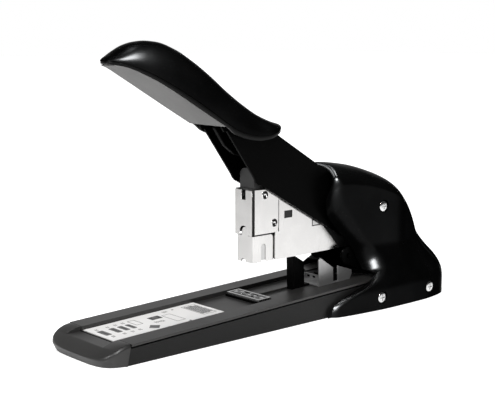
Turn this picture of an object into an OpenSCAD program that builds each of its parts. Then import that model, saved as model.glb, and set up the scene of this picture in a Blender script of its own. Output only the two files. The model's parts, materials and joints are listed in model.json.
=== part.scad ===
// Heavy-duty desktop stapler.
// X runs from the nose (-) to the rear housing (+), Y across, Z up from the table.
// The origin is the middle of the footprint. "Right" is the -Y side.
// Each module draws one sub-part in its rest place: head raised, lever up, drawer shut.

/* [Overall] */
// Length from the nose to the back of the housing
total_l = 317; // [313:1:321]
// Width of the base
base_w = 68; // [66:0.5:70]
// Height of the grip's crest above the table
grip_top_z = 190.4; // [187:0.2:194]

/* [Base] */
// Length of the nose cap
nose_l = 19.5; // [17:0.5:22]
// Height of the base top above the table, at the origin
top_h = 18.3; // [17.8:0.1:19]
// Slope of the base top, in degrees, rising to the rear
top_tilt = 2.06; // [1.6:0.02:2.3]
// Width of each flat rail beside the bed
rail_w = 13.8; // [12.6:0.1:14.4]
// Depth of the bed below the rails
bed_d = 2.9; // [2.6:0.1:3.2]
// Thickness of the steel top
plate_t = 1.2; // [1:0.1:1.5]
// Length of the guide label
label_l = 88; // [70:1:92]

/* [Anvil and paper stop] */
// Length of the anvil across the base
anvil_w = 33; // [28:0.5:36]
// Width of the anvil along the base
anvil_l = 10.9; // [10:0.1:12]
// Width of the stop's post
post_w = 8; // [7:0.1:8.2]
// Height of the stop's post above the rails at its front
post_h = 20.2; // [18:0.1:20.4]

/* [Staple head] */
// Width of the staple crown that the head takes
crown_w = 12.9; // [12.7:0.05:13]
// Height of the head's lower edge
head_z = 41.2; // [41:0.1:42]
// Height of the head's top
head_top_z = 91; // [89:0.2:92]
// Height of the seam between the gate and the fixed head
gate_top_z = 59.3; // [58.8:0.1:59.6]
// Sheet thickness of the bright plates
bright_t = 0.8; // [0.6:0.05:0.9]

/* [Lever] */
// Thickness of the lever's steel walls
arm_t = 1.6; // [1.4:0.1:1.8]
// Diameter of the main pivot pin
pivot_d = 8; // [7:0.2:9]
// Half width of the grip
grip_half_w = 18.5; // [17.5:0.1:19.5]
// Wall thickness of the moulded grip
grip_t = 2.2; // [1.8:0.1:2.6]

/* [Housing] */
// Half width of the housing at its foot
housing_half_w = 43; // [42:0.2:45]
// Height of the housing's crest at its front
housing_h = 103.4; // [102.6:0.2:106]
// Wall thickness of the moulded shells
shell_t = 2.6; // [2.2:0.1:3]

/* [Hidden] */
$fn = 48;

// --- shared clearances ---
running = 0.05;   // radial, pin in its bore
slack = 0.3;      // between faces that pass each other
over = 1;         // cutters reach this far past what they cut

// --- places worked out from the driving dimensions ---
nose_x = -total_l / 2;
rear_x = total_l / 2;
parting_x = nose_x + nose_l;
half_w = base_w / 2;
bed_half = half_w - rail_w;
pivot = [112, 42];                // main axle, in X and Z
floor_z = 0.3;                    // underside of the tray
tray_rear_x = rear_x - 12;
parting_lean = 3;                 // the nose joint leans forward by this much at the table

// Half widths across the head, from the middle outwards
rail_half = crown_w / 2 - 1.05;
rail_wall = 1;
channel_in = crown_w / 2 + 0.15;
channel_out = channel_in + 0.6;
frame_in = channel_out + slack;
frame_out = frame_in + 1;
plate_out = frame_out + bright_t;
cheek_out = plate_out + 0.6;
gate_out = channel_out + 0.6;
arm_in = cheek_out + 0.7;
arm_out = arm_in + arm_t;
bracket_in = arm_out + 2.3;
bracket_out = bracket_in + 1.8;

// Along the head
front_x = -20.5;                  // front of the gate
seam_x = -1.1;                    // rear edge of the gate, front edge of the side plates
plate_rear_x = 59.6;
drawer_rear_x = 82;
post_x = [22.4, 32.3];
spring_x = 92;

function top_z(x) = top_h + x * tan(top_tilt);
function bed_z(x) = top_z(x) - bed_d;

// Distance across a straight line through two points: height of the line at x
function line_z(a, b, x) = a[1] + (b[1] - a[1]) * (x - a[0]) / (b[0] - a[0]);

// Smooth step from 0 to 1
function ease(t) = let (u = max(0, min(1, t))) u * u * (3 - 2 * u);
function mix(a, b, t) = a + (b - a) * t;

// Smooth curve through points [x, y]: cubic pieces with gentle slopes that never overshoot
function chord(p, i) = (p[i + 1][1] - p[i][1]) / (p[i + 1][0] - p[i][0]);
function slope(p, i) =
    i == 0 ? chord(p, 0) :
    i == len(p) - 1 ? chord(p, i - 1) :
    chord(p, i - 1) * chord(p, i) <= 0 ? 0 :
    2 * chord(p, i - 1) * chord(p, i) / (chord(p, i - 1) + chord(p, i));
function span(p, x, i = 0) = (i >= len(p) - 2 || x <= p[i + 1][0]) ? i : span(p, x, i + 1);
function curve(p, x) =
    let (i = span(p, x), h = p[i + 1][0] - p[i][0], t = max(0, min(1, (x - p[i][0]) / h)))
    p[i][1] * (1 + 2 * t) * pow(1 - t, 2) + slope(p, i) * h * t * pow(1 - t, 2)
    + p[i + 1][1] * t * t * (3 - 2 * t) + slope(p, i + 1) * h * t * t * (t - 1);

// Points of an arc about c, from angle a0 to a1
function arc(c, r, a0, a1, n = 6) = [for (i = [0:n]) c + r * [cos(mix(a0, a1, i / n)), sin(mix(a0, a1, i / n))]];

// --- shared shapes ---

// Flat outline in X and Z, drawn out across from y0 to y1
module across(y0, y1) translate([0, y1, 0]) rotate([90, 0, 0]) linear_extrude(y1 - y0) children();

// The same wall on both sides, from half width a to half width b
module both_walls(a, b) {
    across(a, b) children();
    across(-b, -a) children();
}

// Flat outline in Y and Z, drawn out along from x0 to x1
module along(x0, x1) translate([x0, 0, 0]) rotate([90, 0, 90]) linear_extrude(x1 - x0) children();

// The sloping frame of the base top: Z is 0 on the rails
module on_top() translate([0, 0, top_h]) rotate([0, -top_tilt, 0]) children();

module block(x0, x1, y0, y1, z0, z1) translate([x0, y0, z0]) cube([x1 - x0, y1 - y0, z1 - z0]);

// Round bar across the object at [x, z]
module cross_bar(at, r, y0, y1) translate([at[0], y1, at[1]]) rotate([90, 0, 0]) cylinder(r = r, h = y1 - y0);

// Everything lower than a given drop below the base top
module below_top(drop)
    on_top() block(-total_l, total_l, -total_l, total_l, -total_l, -drop);

// Closed shell between an outer and an inner grid of points, rows along X.
// The last row of both grids is a single point; so is the first when front_point is true.
module skin(outer, inner, front_point = false) {
    n = len(outer);
    m = len(outer[0]);
    count = n * m;
    function at(i, j) = i == n - 1 ? i * m : (front_point && i == 0) ? 0 : i * m + j;
    function tri(a, b, c) = (a == b || b == c || a == c) ? [] : [[a, b, c]];
    function quad(a, b, c, d) = concat(tri(a, b, c), tri(a, c, d));
    sheets = [for (i = [0:n - 2], j = [0:m - 2])
        concat(
            quad(at(i, j), at(i, j + 1), at(i + 1, j + 1), at(i + 1, j)),
            quad(count + at(i, j), count + at(i + 1, j), count + at(i + 1, j + 1), count + at(i, j + 1)))];
    sides = [for (i = [0:n - 2])
        concat(
            quad(at(i, 0), at(i + 1, 0), count + at(i + 1, 0), count + at(i, 0)),
            quad(at(i + 1, m - 1), at(i, m - 1), count + at(i, m - 1), count + at(i + 1, m - 1)))];
    rim = front_point ? [] : [for (j = [0:m - 2]) quad(at(0, j + 1), at(0, j), count + at(0, j), count + at(0, j + 1))];
    faces = [for (group = concat(sheets, sides, rim), face = group) face];
    points = [for (row = concat(outer, inner), point = row) point];
    polyhedron(points, faces);
}

// Round wire along a path of points, closed at both ends
module wire(path, r, sides = 6) {
    n = len(path);
    function heading(i) = let (d = path[min(n - 1, i + 1)] - path[max(0, i - 1)]) d / norm(d);
    function ring(i) = let (
        d = heading(i),
        guide = abs(d[1]) > 0.9 ? [0, 0, 1] : [0, 1, 0],
        u = cross(d, guide) / norm(cross(d, guide)),
        v = cross(d, u))
        [for (k = [0:sides - 1]) path[i] + r * (cos(360 * k / sides) * u + sin(360 * k / sides) * v)];
    tube = [for (i = [0:n - 2], k = [0:sides - 1])
        let (l = (k + 1) % sides, a = i * sides, b = a + sides)
        each [[a + k, a + l, b + l], [a + k, b + l, b + k]]];
    start = [for (k = [sides - 1:-1:0]) k];
    end = [for (k = [0:sides - 1]) (n - 1) * sides + k];
    polyhedron([for (i = [0:n - 1], p = ring(i)) p], concat(tube, [start, end]));
}

// Pan-head screw: the head's underside is at the origin, the shank runs to -Z
module screw(head_r, head_h, shank_r, shank_l) {
    difference() {
        cylinder(r = head_r, h = head_h);
        for (turn = [0, 90])
            rotate(turn) block(-head_r * 0.6, head_r * 0.6, -0.4, 0.4, head_h * 0.45, head_h + over);
    }
    translate([0, 0, -shank_l]) cylinder(r = shank_r, h = shank_l);
}

// ===== Base =====

feet_at = [[parting_x + 11, 22], [tray_rear_x - 22.5, 22], [0, 26]];
foot_r = 6;
tray_wall = 2.4;
tray_half = half_w - 0.8;
tray_gap = 2.8;                   // height of the dark joint under the steel top
housing_screw_at = [[86.5, 71.4], [72, 9], [125, 8.6]];

// Plan of the base: straight sides that draw in behind, inside the housing
module base_plan(half) {
    start = 100;
    steps = 8;
    side = [for (i = [0:steps]) let (x = mix(start, tray_rear_x, i / steps))
        [x, min(half, hood_half(x, top_z(x) + 0.5, shell_t) - 1.5)]];
    polygon(concat([[nose_x, -half], [nose_x, half]], side, [for (i = [steps:-1:0]) [side[i][0], -side[i][1]]]));
}

// The nose joint: where it stands at a given height
function joint_x(z) = parting_x - parting_lean * (1 - z / top_z(parting_x));

// Solid under the base top, back from the leaning nose joint
module tray_body(half, drop)
    intersection() {
        linear_extrude(housing_h) base_plan(half);
        across(-half, half) polygon([[joint_x(floor_z), floor_z], [parting_x, top_z(parting_x)],
            [parting_x, housing_h], [rear_x, housing_h], [rear_x, floor_z]]);
        below_top(drop);
    }

module base_tray() {
    inner = half_w - 5;
    color([0.16, 0.16, 0.17]) difference() {
        union() {
            tray_body(tray_half, tray_gap);
            tray_body(half_w - 2.2, plate_t + 0.02);
        }
        // The bed sits in the top of the tray
        on_top() {
            block(-total_l, total_l, -bed_half - plate_t, bed_half + plate_t, -bed_d - plate_t, housing_h);
            block(channel_x[0], channel_x[1], -post_w / 2 - 0.3 - plate_t, post_w / 2 + 0.3 + plate_t,
                -bed_d - channel_d - plate_t, housing_h);
        }
        // Hollow below the bed, leaving ribs that carry it
        difference() {
            intersection() {
                block(parting_x + tray_wall, tray_rear_x - tray_wall, -inner, inner, floor_z + 2, housing_h);
                linear_extrude(housing_h) base_plan(inner);
                linear_extrude(housing_h) translate([-tray_wall, 0]) base_plan(inner);
            }
            intersection() {
                for (x = [parting_x + 29:29:tray_rear_x - 14])
                    block(x, x + 2, -inner, inner, 0, housing_h);
                below_top(bed_d + plate_t);
            }
            for (at = [housing_screw_at[1], housing_screw_at[2]], side = [-1, 1])
                intersection() {
                    block(at[0] - 6, at[0] + 6, side * (inner - 3) - 5, side * (inner - 3) + 5, 0, housing_h);
                    below_top(bed_d + plate_t);
                }
        }
        for (at = feet_at, side = [-1, 1])
            translate([at[0], side * at[1], -over]) cylinder(r = foot_r + 0.2, h = floor_z + 2 * over);
        for (at = [housing_screw_at[1], housing_screw_at[2]], side = [-1, 1])
            cross_bar(at, 1.8, side > 0 ? half_w - 10 : -half_w - over, side > 0 ? half_w + over : 10 - half_w);
    }
}

// Outline of the steel top in Y and Z, with or without the centre channel
function top_outline(channel_d) = let (
    lip = 1.5,
    channel_half = post_w / 2 + 0.3,
    t = plate_t,
    upper = [[half_w, -lip], [half_w, 0], [bed_half, 0], [bed_half, -bed_d],
        [channel_half, -bed_d], [channel_half, -bed_d - channel_d]],
    lower = [[channel_half + t, -bed_d - channel_d - t], [channel_half + t, -bed_d - t],
        [bed_half + t, -bed_d - t], [bed_half + t, -t], [half_w - t, -t], [half_w - t, -lip]])
    concat(
        upper, [for (i = [5:-1:0]) [-upper[i][0], upper[i][1]]],
        [for (i = [5:-1:0]) [-lower[i][0], lower[i][1]]], lower);

// The same outline where the bed is flat
function flat_outline() = let (
    lip = 1.5,
    t = plate_t,
    upper = [[half_w, -lip], [half_w, 0], [bed_half, 0], [bed_half, -bed_d]],
    lower = [[bed_half + t, -bed_d - t], [bed_half + t, -t], [half_w - t, -t], [half_w - t, -lip]])
    concat(
        upper, [for (i = [3:-1:0]) [-upper[i][0], upper[i][1]]],
        [for (i = [3:-1:0]) [-lower[i][0], lower[i][1]]], lower);

channel_x = [-8, 84];
channel_d = 1.4;

module base_plate() {
    color([0.2, 0.19, 0.185]) intersection() {
        on_top() difference() {
            union() {
                along(parting_x, channel_x[0]) polygon(flat_outline());
                along(channel_x[0], channel_x[1]) polygon(top_outline(channel_d));
                along(channel_x[1], tray_rear_x) polygon(flat_outline());
            }
            for (side = [-1, 1])
                translate([anvil_mid_x, side * anvil_screw_y, -bed_d - plate_t - over])
                    cylinder(r = 1.6, h = plate_t + 2 * over);
        }
        linear_extrude(housing_h) base_plan(half_w);
    }
}

nose_edge_z = 4.6;                // height of the nose's front crease
nose_foot = 0.92;                 // the nose's foot is this much narrower than its crease

// Half outline of the nose in plan, from the side to the tip: a soft squared curve
function nose_half(l, w, n = 18) = [for (i = [0:n])
    let (a = 90 * i / n) [-l * pow(sin(a), 0.52), w * pow(cos(a), 0.52)]];

module nose_plan(l, w) {
    half = nose_half(l, w);
    polygon(concat([[parting_lean, w], [parting_lean, -w]], [for (p = half) [p[0], -p[1]]],
        [for (i = [len(half) - 2:-1:0]) half[i]]));
}

// Height of the nose's top, falling away to the front crease; s runs from 0 at the joint to 1 at the tip
function nose_fall(s) = top_z(parting_x) - (top_z(parting_x) - nose_edge_z) * pow(s, 1.9);

module nose_cap() {
    crown_z = top_z(parting_x);
    ramp = [for (i = [0:12]) [parting_x - nose_l * i / 12, nose_fall(i / 12)]];
    color([0.13, 0.13, 0.135]) difference() {
        intersection() {
            translate([parting_x, 0, 0]) union() {
                // The wall below the crease leans in towards the table
                translate([0, 0, nose_edge_z]) mirror([0, 0, 1]) linear_extrude(nose_edge_z, scale = nose_foot)
                    nose_plan(nose_l, half_w);
                translate([0, 0, nose_edge_z]) linear_extrude(crown_z) nose_plan(nose_l, half_w);
            }
            across(-half_w, half_w) polygon(concat([[joint_x(floor_z), floor_z], [parting_x, crown_z]], ramp,
                [[nose_x, floor_z]]));
        }
        // Hollow below
        block(nose_x + 6, parting_x - parting_lean - 2, -half_w + 9, half_w - 9, -over, nose_edge_z);
        // The bed runs out into the nose's slope
        block(nose_x, parting_x + over, -bed_half, bed_half, crown_z - bed_d, crown_z + over);
    }
}

module guide_label()
    color([0.93, 0.93, 0.92]) on_top()
        block(parting_x + 0.8, parting_x + 0.8 + label_l, -bed_half + 0.5, bed_half - 0.5, -bed_d, -bed_d + 0.4);

anvil_mid_x = -17.1;
anvil_screw_y = anvil_w / 2 - 3.5;
anvil_t = 1.4;
anvil_proud = 0.25;               // height of the anvil over the rails

module anvil_block()
    color([0.07, 0.07, 0.07]) on_top() difference() {
        block(anvil_mid_x - anvil_l / 2 - 0.8, anvil_mid_x + anvil_l / 2 + 0.8,
            -anvil_w / 2 - 0.8, anvil_w / 2 + 0.8, -bed_d, anvil_proud - anvil_t);
        for (side = [-1, 1])
            translate([anvil_mid_x, side * anvil_screw_y, -bed_d - over]) cylinder(r = 1.6, h = 2 * bed_d);
    }

module anvil_plate()
    color([0.75, 0.75, 0.74]) on_top() difference() {
        block(anvil_mid_x - anvil_l / 2, anvil_mid_x + anvil_l / 2, -anvil_w / 2, anvil_w / 2,
            anvil_proud - anvil_t, anvil_proud);
        // Curved pockets that turn the staple's legs
        pocket_r = 6;
        pocket_d = 0.8;
        for (side = [-1, 1], dx = [-2.2, 2.2])
            translate([anvil_mid_x + dx - 0.9, side * (crown_w / 2 - 2.2), anvil_proud + pocket_r - pocket_d])
                rotate([0, 90, 0]) cylinder(r = pocket_r, h = 1.8);
        for (side = [-1, 1])
            translate([anvil_mid_x, side * anvil_screw_y, -bed_d]) cylinder(r = 1.6, h = 2 * bed_d);
    }

module anvil_screws()
    color([0.6, 0.6, 0.6]) on_top() for (side = [-1, 1])
        translate([anvil_mid_x, side * anvil_screw_y, -bed_d - plate_t]) {
            translate([0, 0, -2]) cylinder(r = 2.8, h = 2);
            cylinder(r = 1.55, h = bed_d + plate_t + anvil_proud - 0.1);
        }

bracket_t = 1.8;
bracket_x = [88, 134];
frame_bolt_x = [106, 126];
frame_bolt_y = 8;
bracket_ear = [64, 36.4];          // rounded front end of the walls

module frame_bracket() {
    foot_z = bed_z(bracket_x[0]) + 0.1;
    color([0.1, 0.1, 0.1]) difference() {
        union() {
            on_top() block(bracket_x[0], bracket_x[1], -bracket_in - 0.4, bracket_in + 0.4, -bed_d, -bed_d + bracket_t);
            both_walls(bracket_in, bracket_out) polygon(concat(
                [[bracket_x[0] + 1.5, foot_z], [bracket_x[1] - 1, bed_z(bracket_x[1]) + 0.1], [bracket_x[1] - 4, 34],
                    [122, 57], [104, 62]],
                arc(housing_screw_at[0], 8, 40, 215, 10),
                [[86, 50]],
                arc(bracket_ear, 6.5, 75, 275, 10)));
        }
        cross_bar(pivot, pivot_d / 2 + running, -bracket_out - over, bracket_out + over);
        on_top() translate([spring_x, 0, -bed_d - over]) cylinder(r = seat_r + slack, h = bracket_t + 2 * over);
        for (side = [-1, 1])
            cross_bar(housing_screw_at[0], 1.8, side > 0 ? bracket_in - over : -bracket_out - over,
                side > 0 ? bracket_out + over : over - bracket_in);
        for (side = [-1, 1])
            cross_bar(bracket_ear, 2, side > 0 ? bracket_in - over : -bracket_out - over,
                side > 0 ? bracket_out + over : over - bracket_in);
        on_top() for (x = frame_bolt_x, side = [-1, 1])
            translate([x, side * frame_bolt_y, -bed_d - over]) cylinder(r = 2.1, h = bracket_t + 2 * over);
    }
}

module frame_bolts()
    color([0.55, 0.55, 0.55]) on_top() for (x = frame_bolt_x, side = [-1, 1])
        translate([x, side * frame_bolt_y, -bed_d + bracket_t]) {
            cylinder(r = 3.5, h = 2, $fn = 6);
            translate([0, 0, -bracket_t]) cylinder(r = 2.05, h = bracket_t);
        }

module pivot_pin()
    color([0.6, 0.6, 0.6]) difference() {
        cross_bar(pivot, pivot_d / 2, -bracket_out - 3, bracket_out + 3);
        // Grooves for the retaining rings
        for (y = [bracket_out + 0.3, -bracket_out - 1.3])
            difference() {
                cross_bar(pivot, pivot_d / 2 + over, y, y + 1);
                cross_bar(pivot, pivot_d / 2 - 0.7, y - over, y + 1 + over);
            }
    }

module pivot_clips()
    color([0.3, 0.3, 0.3]) for (y = [bracket_out + 0.3, -bracket_out - 1.3])
        difference() {
            cross_bar(pivot, pivot_d / 2 + 2, y, y + 1);
            cross_bar(pivot, pivot_d / 2 - 0.68, y - over, y + 1 + over);
            block(pivot[0] - 1.6, pivot[0] + 1.6, y - over, y + 1 + over, pivot[1] - pivot_d, pivot[1] - 2);
        }

module pivot_washers()
    color([0.85, 0.85, 0.8]) for (pair = [[frame_out, arm_in], [arm_out, bracket_in]], side = [-1, 1])
        difference() {
            cross_bar(pivot, pivot_d / 2 + 3, side > 0 ? pair[0] + 0.1 : -pair[1] + 0.1,
                side > 0 ? pair[1] - 0.1 : -pair[0] - 0.1);
            cross_bar(pivot, pivot_d / 2, -bracket_out, bracket_out);
        }

// ===== Rear housing =====

// Crest of the hood, from the front lip down the back
crest = [[nose_x, housing_h + 0.6], [50, housing_h], [71, housing_h - 2.5], [90, 95.7], [104, 89.7], [114, 81],
    [121, 71.5], [128, 58.6], [137, 45.5], [147, 34], [154, 21], [rear_x - 1.2, 9.5], [rear_x, 2]];
// Half width at the foot
foot_half = [[20, half_w + 1], [27, half_w + 2.2], [33, half_w + 4], [45, housing_half_w - 3],
    [60, housing_half_w - 1.4], [80, housing_half_w], [100, housing_half_w], [120, housing_half_w - 0.6],
    [133, housing_half_w - 2.6], [143, housing_half_w - 5.4], [150, 33], [155, 27], [rear_x - 1, 18.5], [rear_x, 1]];
// Half width at the shoulder
shoulder_half = [[20, 25], [45, 26], [80, 29], [100, 30.4], [112, 28.6], [120, 27.2], [130, 25], [145, 19.5],
    [155, 16], [rear_x, 1]];
// Where the front edge stands at each height
front_edge = [[0, 24.6], [4, 25.2], [8, 28], [12, 36], [16.5, 50], [20.5, 62], [24, 68], [30, 72.5], [36, 72.5],
    [43, 70], [51, 63.5], [57, 58], [64, 52.5], [70, 47.5], [77, 42.5],
    [86, 41.5], [95, 42.5], [100.5, 46], [housing_h + 2, 49.5]];
skirt_z = [12, 46];               // the flare of the foot fades out between these heights
shoulder_r = 14;
bend = 0.36;                      // share of the section's rows that go round the shoulder
corner = [0.24, 0.36];            // the front lip grows between these rows

// Half width of the housing's side at a given place
function side_half(x, z) =
    let (w = min(curve(shoulder_half, x), curve(foot_half, x)))
    w + (curve(foot_half, x) - w) * (1 - ease((z - skirt_z[0]) / (skirt_z[1] - skirt_z[0])));

// Radius of the shoulder under a crest of a given height
function round_r(top) = min(shoulder_r, top * 0.6);

// Half width t inside the hood's skin at any place, shoulder included
function hood_half(x, z, t) = let (
    top = curve(crest, x) - t,
    r = round_r(top),
    wide = side_half(x, min(z, top - r)) - t)
    z <= top - r ? wide : wide - r + sqrt(max(0, r * r - pow(z - top + r, 2)));

// A point of the hood's section at x: v runs from the crest (0) round the shoulder to the foot (1).
// Beside the base the skin stays outside it by keep.
function hood_point(x, v, inset, keep) = let (
    top = max(1.2, curve(crest, x) - inset),
    r = round_r(top),
    crown = 0.9 * r / shoulder_r,
    wide = max(0.4, side_half(x, top - r) - inset),
    a = 90 * min(1, v / bend),
    z = mix(top - r, floor_z, (v - bend) / (1 - bend)),
    beside = x < 108 && z < top_z(x) + 5)
    v < bend
        ? [x, (max(0, wide - r) + min(r, wide)) * sin(a), top - crown * pow(sin(a), 2) - (r - crown) * (1 - cos(a))]
        : [x, max(0.4, side_half(x, z) - inset, beside ? half_w + keep : 0), z];

// Radius and depth of the lip that the front edge turns in
function lip_r(v, z) = mix(shell_t + 0.2, 4.2 + 4.5 * ease((z - 18) / 8) * ease((46 - z) / 10),
    ease((v - corner[0]) / (corner[1] - corner[0])));
function lip_d(v, z) = 6 * ease((v - corner[0]) / (corner[1] - corner[0])) * ease((z - 21) / 4);

// Grid of hood points on the left half, t inside the outer surface
function hood_grid(t, rows = 22, columns = 30) = [for (i = [0:rows]) [for (j = [0:columns])
    let (
        v = j / columns,
        z = hood_point(45, v, 0, 0)[2],
        start = curve(front_edge, z),
        r = lip_r(v, z),
        lips = 5,
        a = 90 * max(0, i - 1) / (lips - 1),
        inset = i == 0 ? r + lip_d(v, z) : i < lips ? t + (r - t) * (1 - sin(a)) : t,
        x = i < lips ? start + t + (r - t) * (1 - cos(a))
            : mix(start + r, rear_x - t, sin(90 * (i - lips + 1) / (rows - lips + 1))))
    i == rows ? [rear_x - t, 0, floor_z] : hood_point(x, v, inset, t > 0 ? 0.15 : 0.95)]];

// Place where the housing screw's head seats, measured out from the middle
function seat_y(at) = side_half(at[0], at[1]) - 1.6;
function boss_end(at) = at[1] > 40 ? bracket_out + 6 : tray_half + 0.1;

module housing_half()
    difference() {
        union() {
            mirror([0, 1, 0]) skin(hood_grid(0), hood_grid(shell_t));
            for (at = housing_screw_at) cross_bar(at, 6, -side_half(at[0], at[1]) + 1, -boss_end(at));
        }
        for (at = housing_screw_at) {
            cross_bar(at, 4.6, -housing_half_w - over, -seat_y(at));
            cross_bar(at, 1.9, -housing_half_w, 0);
        }
    }

module housing_right() color([0.05, 0.05, 0.055]) housing_half();

module housing_left() color([0.05, 0.05, 0.055]) mirror([0, 1, 0]) housing_half();

module housing_standoffs()
    color([0.6, 0.6, 0.6]) for (side = [-1, 1])
        difference() {
            cross_bar(housing_screw_at[0], 3.5, side > 0 ? bracket_out : -bracket_out - 5.9,
                side > 0 ? bracket_out + 5.9 : -bracket_out);
            cross_bar(housing_screw_at[0], 1.7, -housing_half_w, housing_half_w);
        }

module housing_screws()
    color([0.8, 0.8, 0.8]) for (at = housing_screw_at, side = [-1, 1])
        translate([at[0], side * seat_y(at), at[1]]) rotate([-90 * side, 0, 0])
            screw(3.9, 1.7, 1.65, seat_y(at) - boss_end(at) + (at[1] > 40 ? 5 : 4));

module rubber_feet()
    color([0.03, 0.03, 0.03]) for (at = feet_at, side = [-1, 1])
        translate([at[0], side * at[1], 0]) cylinder(r = foot_r, h = floor_z + 1);

tray_screw_at = [[parting_x + 7, 12], [-60, 28], [60, 28], [tray_rear_x - 8, 12]];

module tray_screws()
    color([0.5, 0.5, 0.5]) for (at = tray_screw_at, side = [-1, 1])
        translate([at[0], side * at[1], floor_z - 0.3]) cylinder(r = 2.6, h = 0.3);

seat_r = 7.4;
coil_r = 5;
coil_wire = 0.8;

module spring_seat()
    color([0.1, 0.1, 0.1]) on_top() translate([spring_x, 0, -bed_d]) difference() {
        cylinder(r = seat_r, h = 3);
        translate([0, 0, 1.6]) cylinder(r = coil_r + coil_wire + 0.4, h = 3);
    }

function helix(r, z0, z1, turns, steps) = [for (i = [0:turns * steps])
    [r * cos(360 * i / steps), r * sin(360 * i / steps), mix(z0, z1, i / (turns * steps))]];

module lift_spring()
    color([0.6, 0.6, 0.6]) translate([spring_x, 0, 0])
        wire(helix(coil_r, bed_z(spring_x) + 1.9 + coil_wire, head_z + 0.2 - coil_wire, 6, 16), coil_wire);

// ===== Paper stop: slides along the base's centre channel =====

module stop_post()
    color([0.06, 0.06, 0.06]) on_top() across(-post_w / 2, post_w / 2) polygon([
        [post_x[0], -bed_d - channel_d + 0.15], [post_x[0], post_h], [post_x[0] + 2.2, post_h],
        [post_x[1], post_h - 5.2], [post_x[1], -bed_d + 1.4], [post_x[1] + 5, -bed_d + 1.4],
        [post_x[1] + 5, -bed_d - channel_d + 0.15]]);

stop_half = arm_out + 1.5;        // outside of the stop's upright ears
stop_sheet = 1;
stop_x = [37.3, 70.5];

module stop_carriage()
    color([0.78, 0.78, 0.77]) on_top() {
        lift = -bed_d + 0.2;
        block(stop_x[0], stop_x[1] - 2.2, -stop_half, stop_half, lift, lift + stop_sheet);
        across(-stop_half, 1 - stop_half) polygon([
            [stop_x[0], lift], [stop_x[0], 16.5], [stop_x[0] + 2, 17.8], [stop_x[0] + 14.2, 9], [stop_x[0] + 14.2, lift]]);
        across(-stop_half, 1 - stop_half) polygon([
            [stop_x[0] + 19, lift], [stop_x[0] + 19, 9.5], [stop_x[1], 4], [stop_x[1], 1],
            [stop_x[1] - 2.2, lift]]);
        across(stop_half - 1, stop_half) polygon([
            [stop_x[0], lift], [stop_x[0], 7], [stop_x[0] + 12, 4], [stop_x[0] + 12, lift]]);
        // Front lip with two slots
        difference() {
            block(46.4, 47.2, -4, stop_half - 1, lift, 2.4);
            for (y = [1.2, 6.8]) block(46, 48, y - 1.6, y + 1.6, -0.4, 1.2);
        }
    }

module stop_slider()
    color([0.05, 0.05, 0.05]) on_top() {
        sheet_top = -bed_d + 0.2 + stop_sheet;
        block(47.2, stop_x[1] - 3, -stop_half + 1.4, stop_half - 1.4, sheet_top, 1.6);
        block(50, stop_x[1] - 6, -5, 5, 1.6, 3);
    }

module stop_rivets()
    color([0.7, 0.7, 0.7]) on_top() for (side = [-1, 1])
        translate([stop_x[1] - 8, side * 8, 1.6]) cylinder(r = 1.8, h = 0.7);

// ===== Magazine: hinges down on the main pivot =====

// The sloping top edge of the head
slope_a = [-9.4, head_top_z - 0.7];
slope_b = [42.3, 62.5];
function slope_z(x) = line_z(slope_a, slope_b, x);

drawer_top = gate_top_z - 0.3;
web_z = gate_top_z + 0.7;
tab_x = [34, 42.6];
ear_r = pivot_d / 2 + 8;
pin_r = 1.2;
spacer_at = [[50, 63], [74, 62.5]];
release_at = [24, 66];
roll_at = [13, 66.4];
roll_r = 4;

module magazine_frame() {
    color([0.16, 0.16, 0.16]) difference() {
        union() {
            both_walls(frame_in, frame_out) polygon([
                [front_x - 0.2, gate_top_z + 1.5], [front_x - 0.2, head_top_z - 1], [-10, head_top_z - 1.4],
                [40, slope_z(40) - 0.5], [44, 66.5], [72, 66.5], [88, 60.5], [104, 50], [104, 36],
                [99, head_z + 0.2],
                [seam_x + 0.3, head_z + 0.2], [seam_x + 0.3, gate_top_z + 1.5]]);
            both_walls(frame_in, frame_out) translate(pivot) circle(r = ear_r);
            // Top web over the staples, and rear web for the lift spring
            difference() {
                block(-14, 22, -frame_in - 0.5, frame_in + 0.5, web_z, web_z + 1);
                block(7.5, 21, -4.6, 4.6, web_z - over, web_z + 1 + over);
            }
            block(84, 99, -frame_in - 0.5, frame_in + 0.5, head_z + 0.2, head_z + 1.7);
        }
        cross_bar(pivot, pivot_d / 2 + running, -arm_in, arm_in);
        for (at = spacer_at) cross_bar(at, 2, -arm_in, arm_in);
        cross_bar(release_at, pin_r, -arm_in, arm_in);
        cross_bar(roll_at, pin_r, -arm_in, arm_in);
        block(tab_x[0] - 0.4, tab_x[1] + 1.4, -frame_out - over, -frame_in + 0.4, gate_top_z + 0.6, 70);
    }
}

module side_plate(notched)
    across(-plate_out, -frame_out) difference() {
        polygon(concat(
            [[front_x + 0.7, gate_top_z + 1.4], [front_x + 0.7, head_top_z - 0.2], slope_a, slope_b],
            arc([plate_rear_x - 2, head_z + 2], 2, 45, -90),
            [[seam_x, head_z], [seam_x, gate_top_z + 1.4]]));
        translate([7.3, 69.2]) square([7.6, 5]);
        if (notched) translate([tab_x[0], gate_top_z + 1.2]) square([tab_x[1] - tab_x[0], 20]);
    }

module side_plate_right() color([0.85, 0.85, 0.84]) side_plate(true);

module side_plate_left() color([0.85, 0.85, 0.84]) mirror([0, 1, 0]) side_plate(false);

rivet_at = [[-11.2, 87], [-2.6, 67.2]];
cheek_rear_x = 1.3;

module head_cheek()
    across(-cheek_out, -plate_out) difference() {
        polygon(concat(
            [[front_x + 0.3, gate_top_z + 1.2], [front_x + 0.3, head_top_z], slope_a + [0, 0.3],
                [cheek_rear_x, slope_z(cheek_rear_x) + 0.3]],
            arc([cheek_rear_x - 4, gate_top_z + 5.2], 4, 0, -90)));
        for (at = rivet_at) translate(at) circle(r = 1.6);
    }

module head_cheek_right() color([0.88, 0.88, 0.87]) head_cheek();

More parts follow.
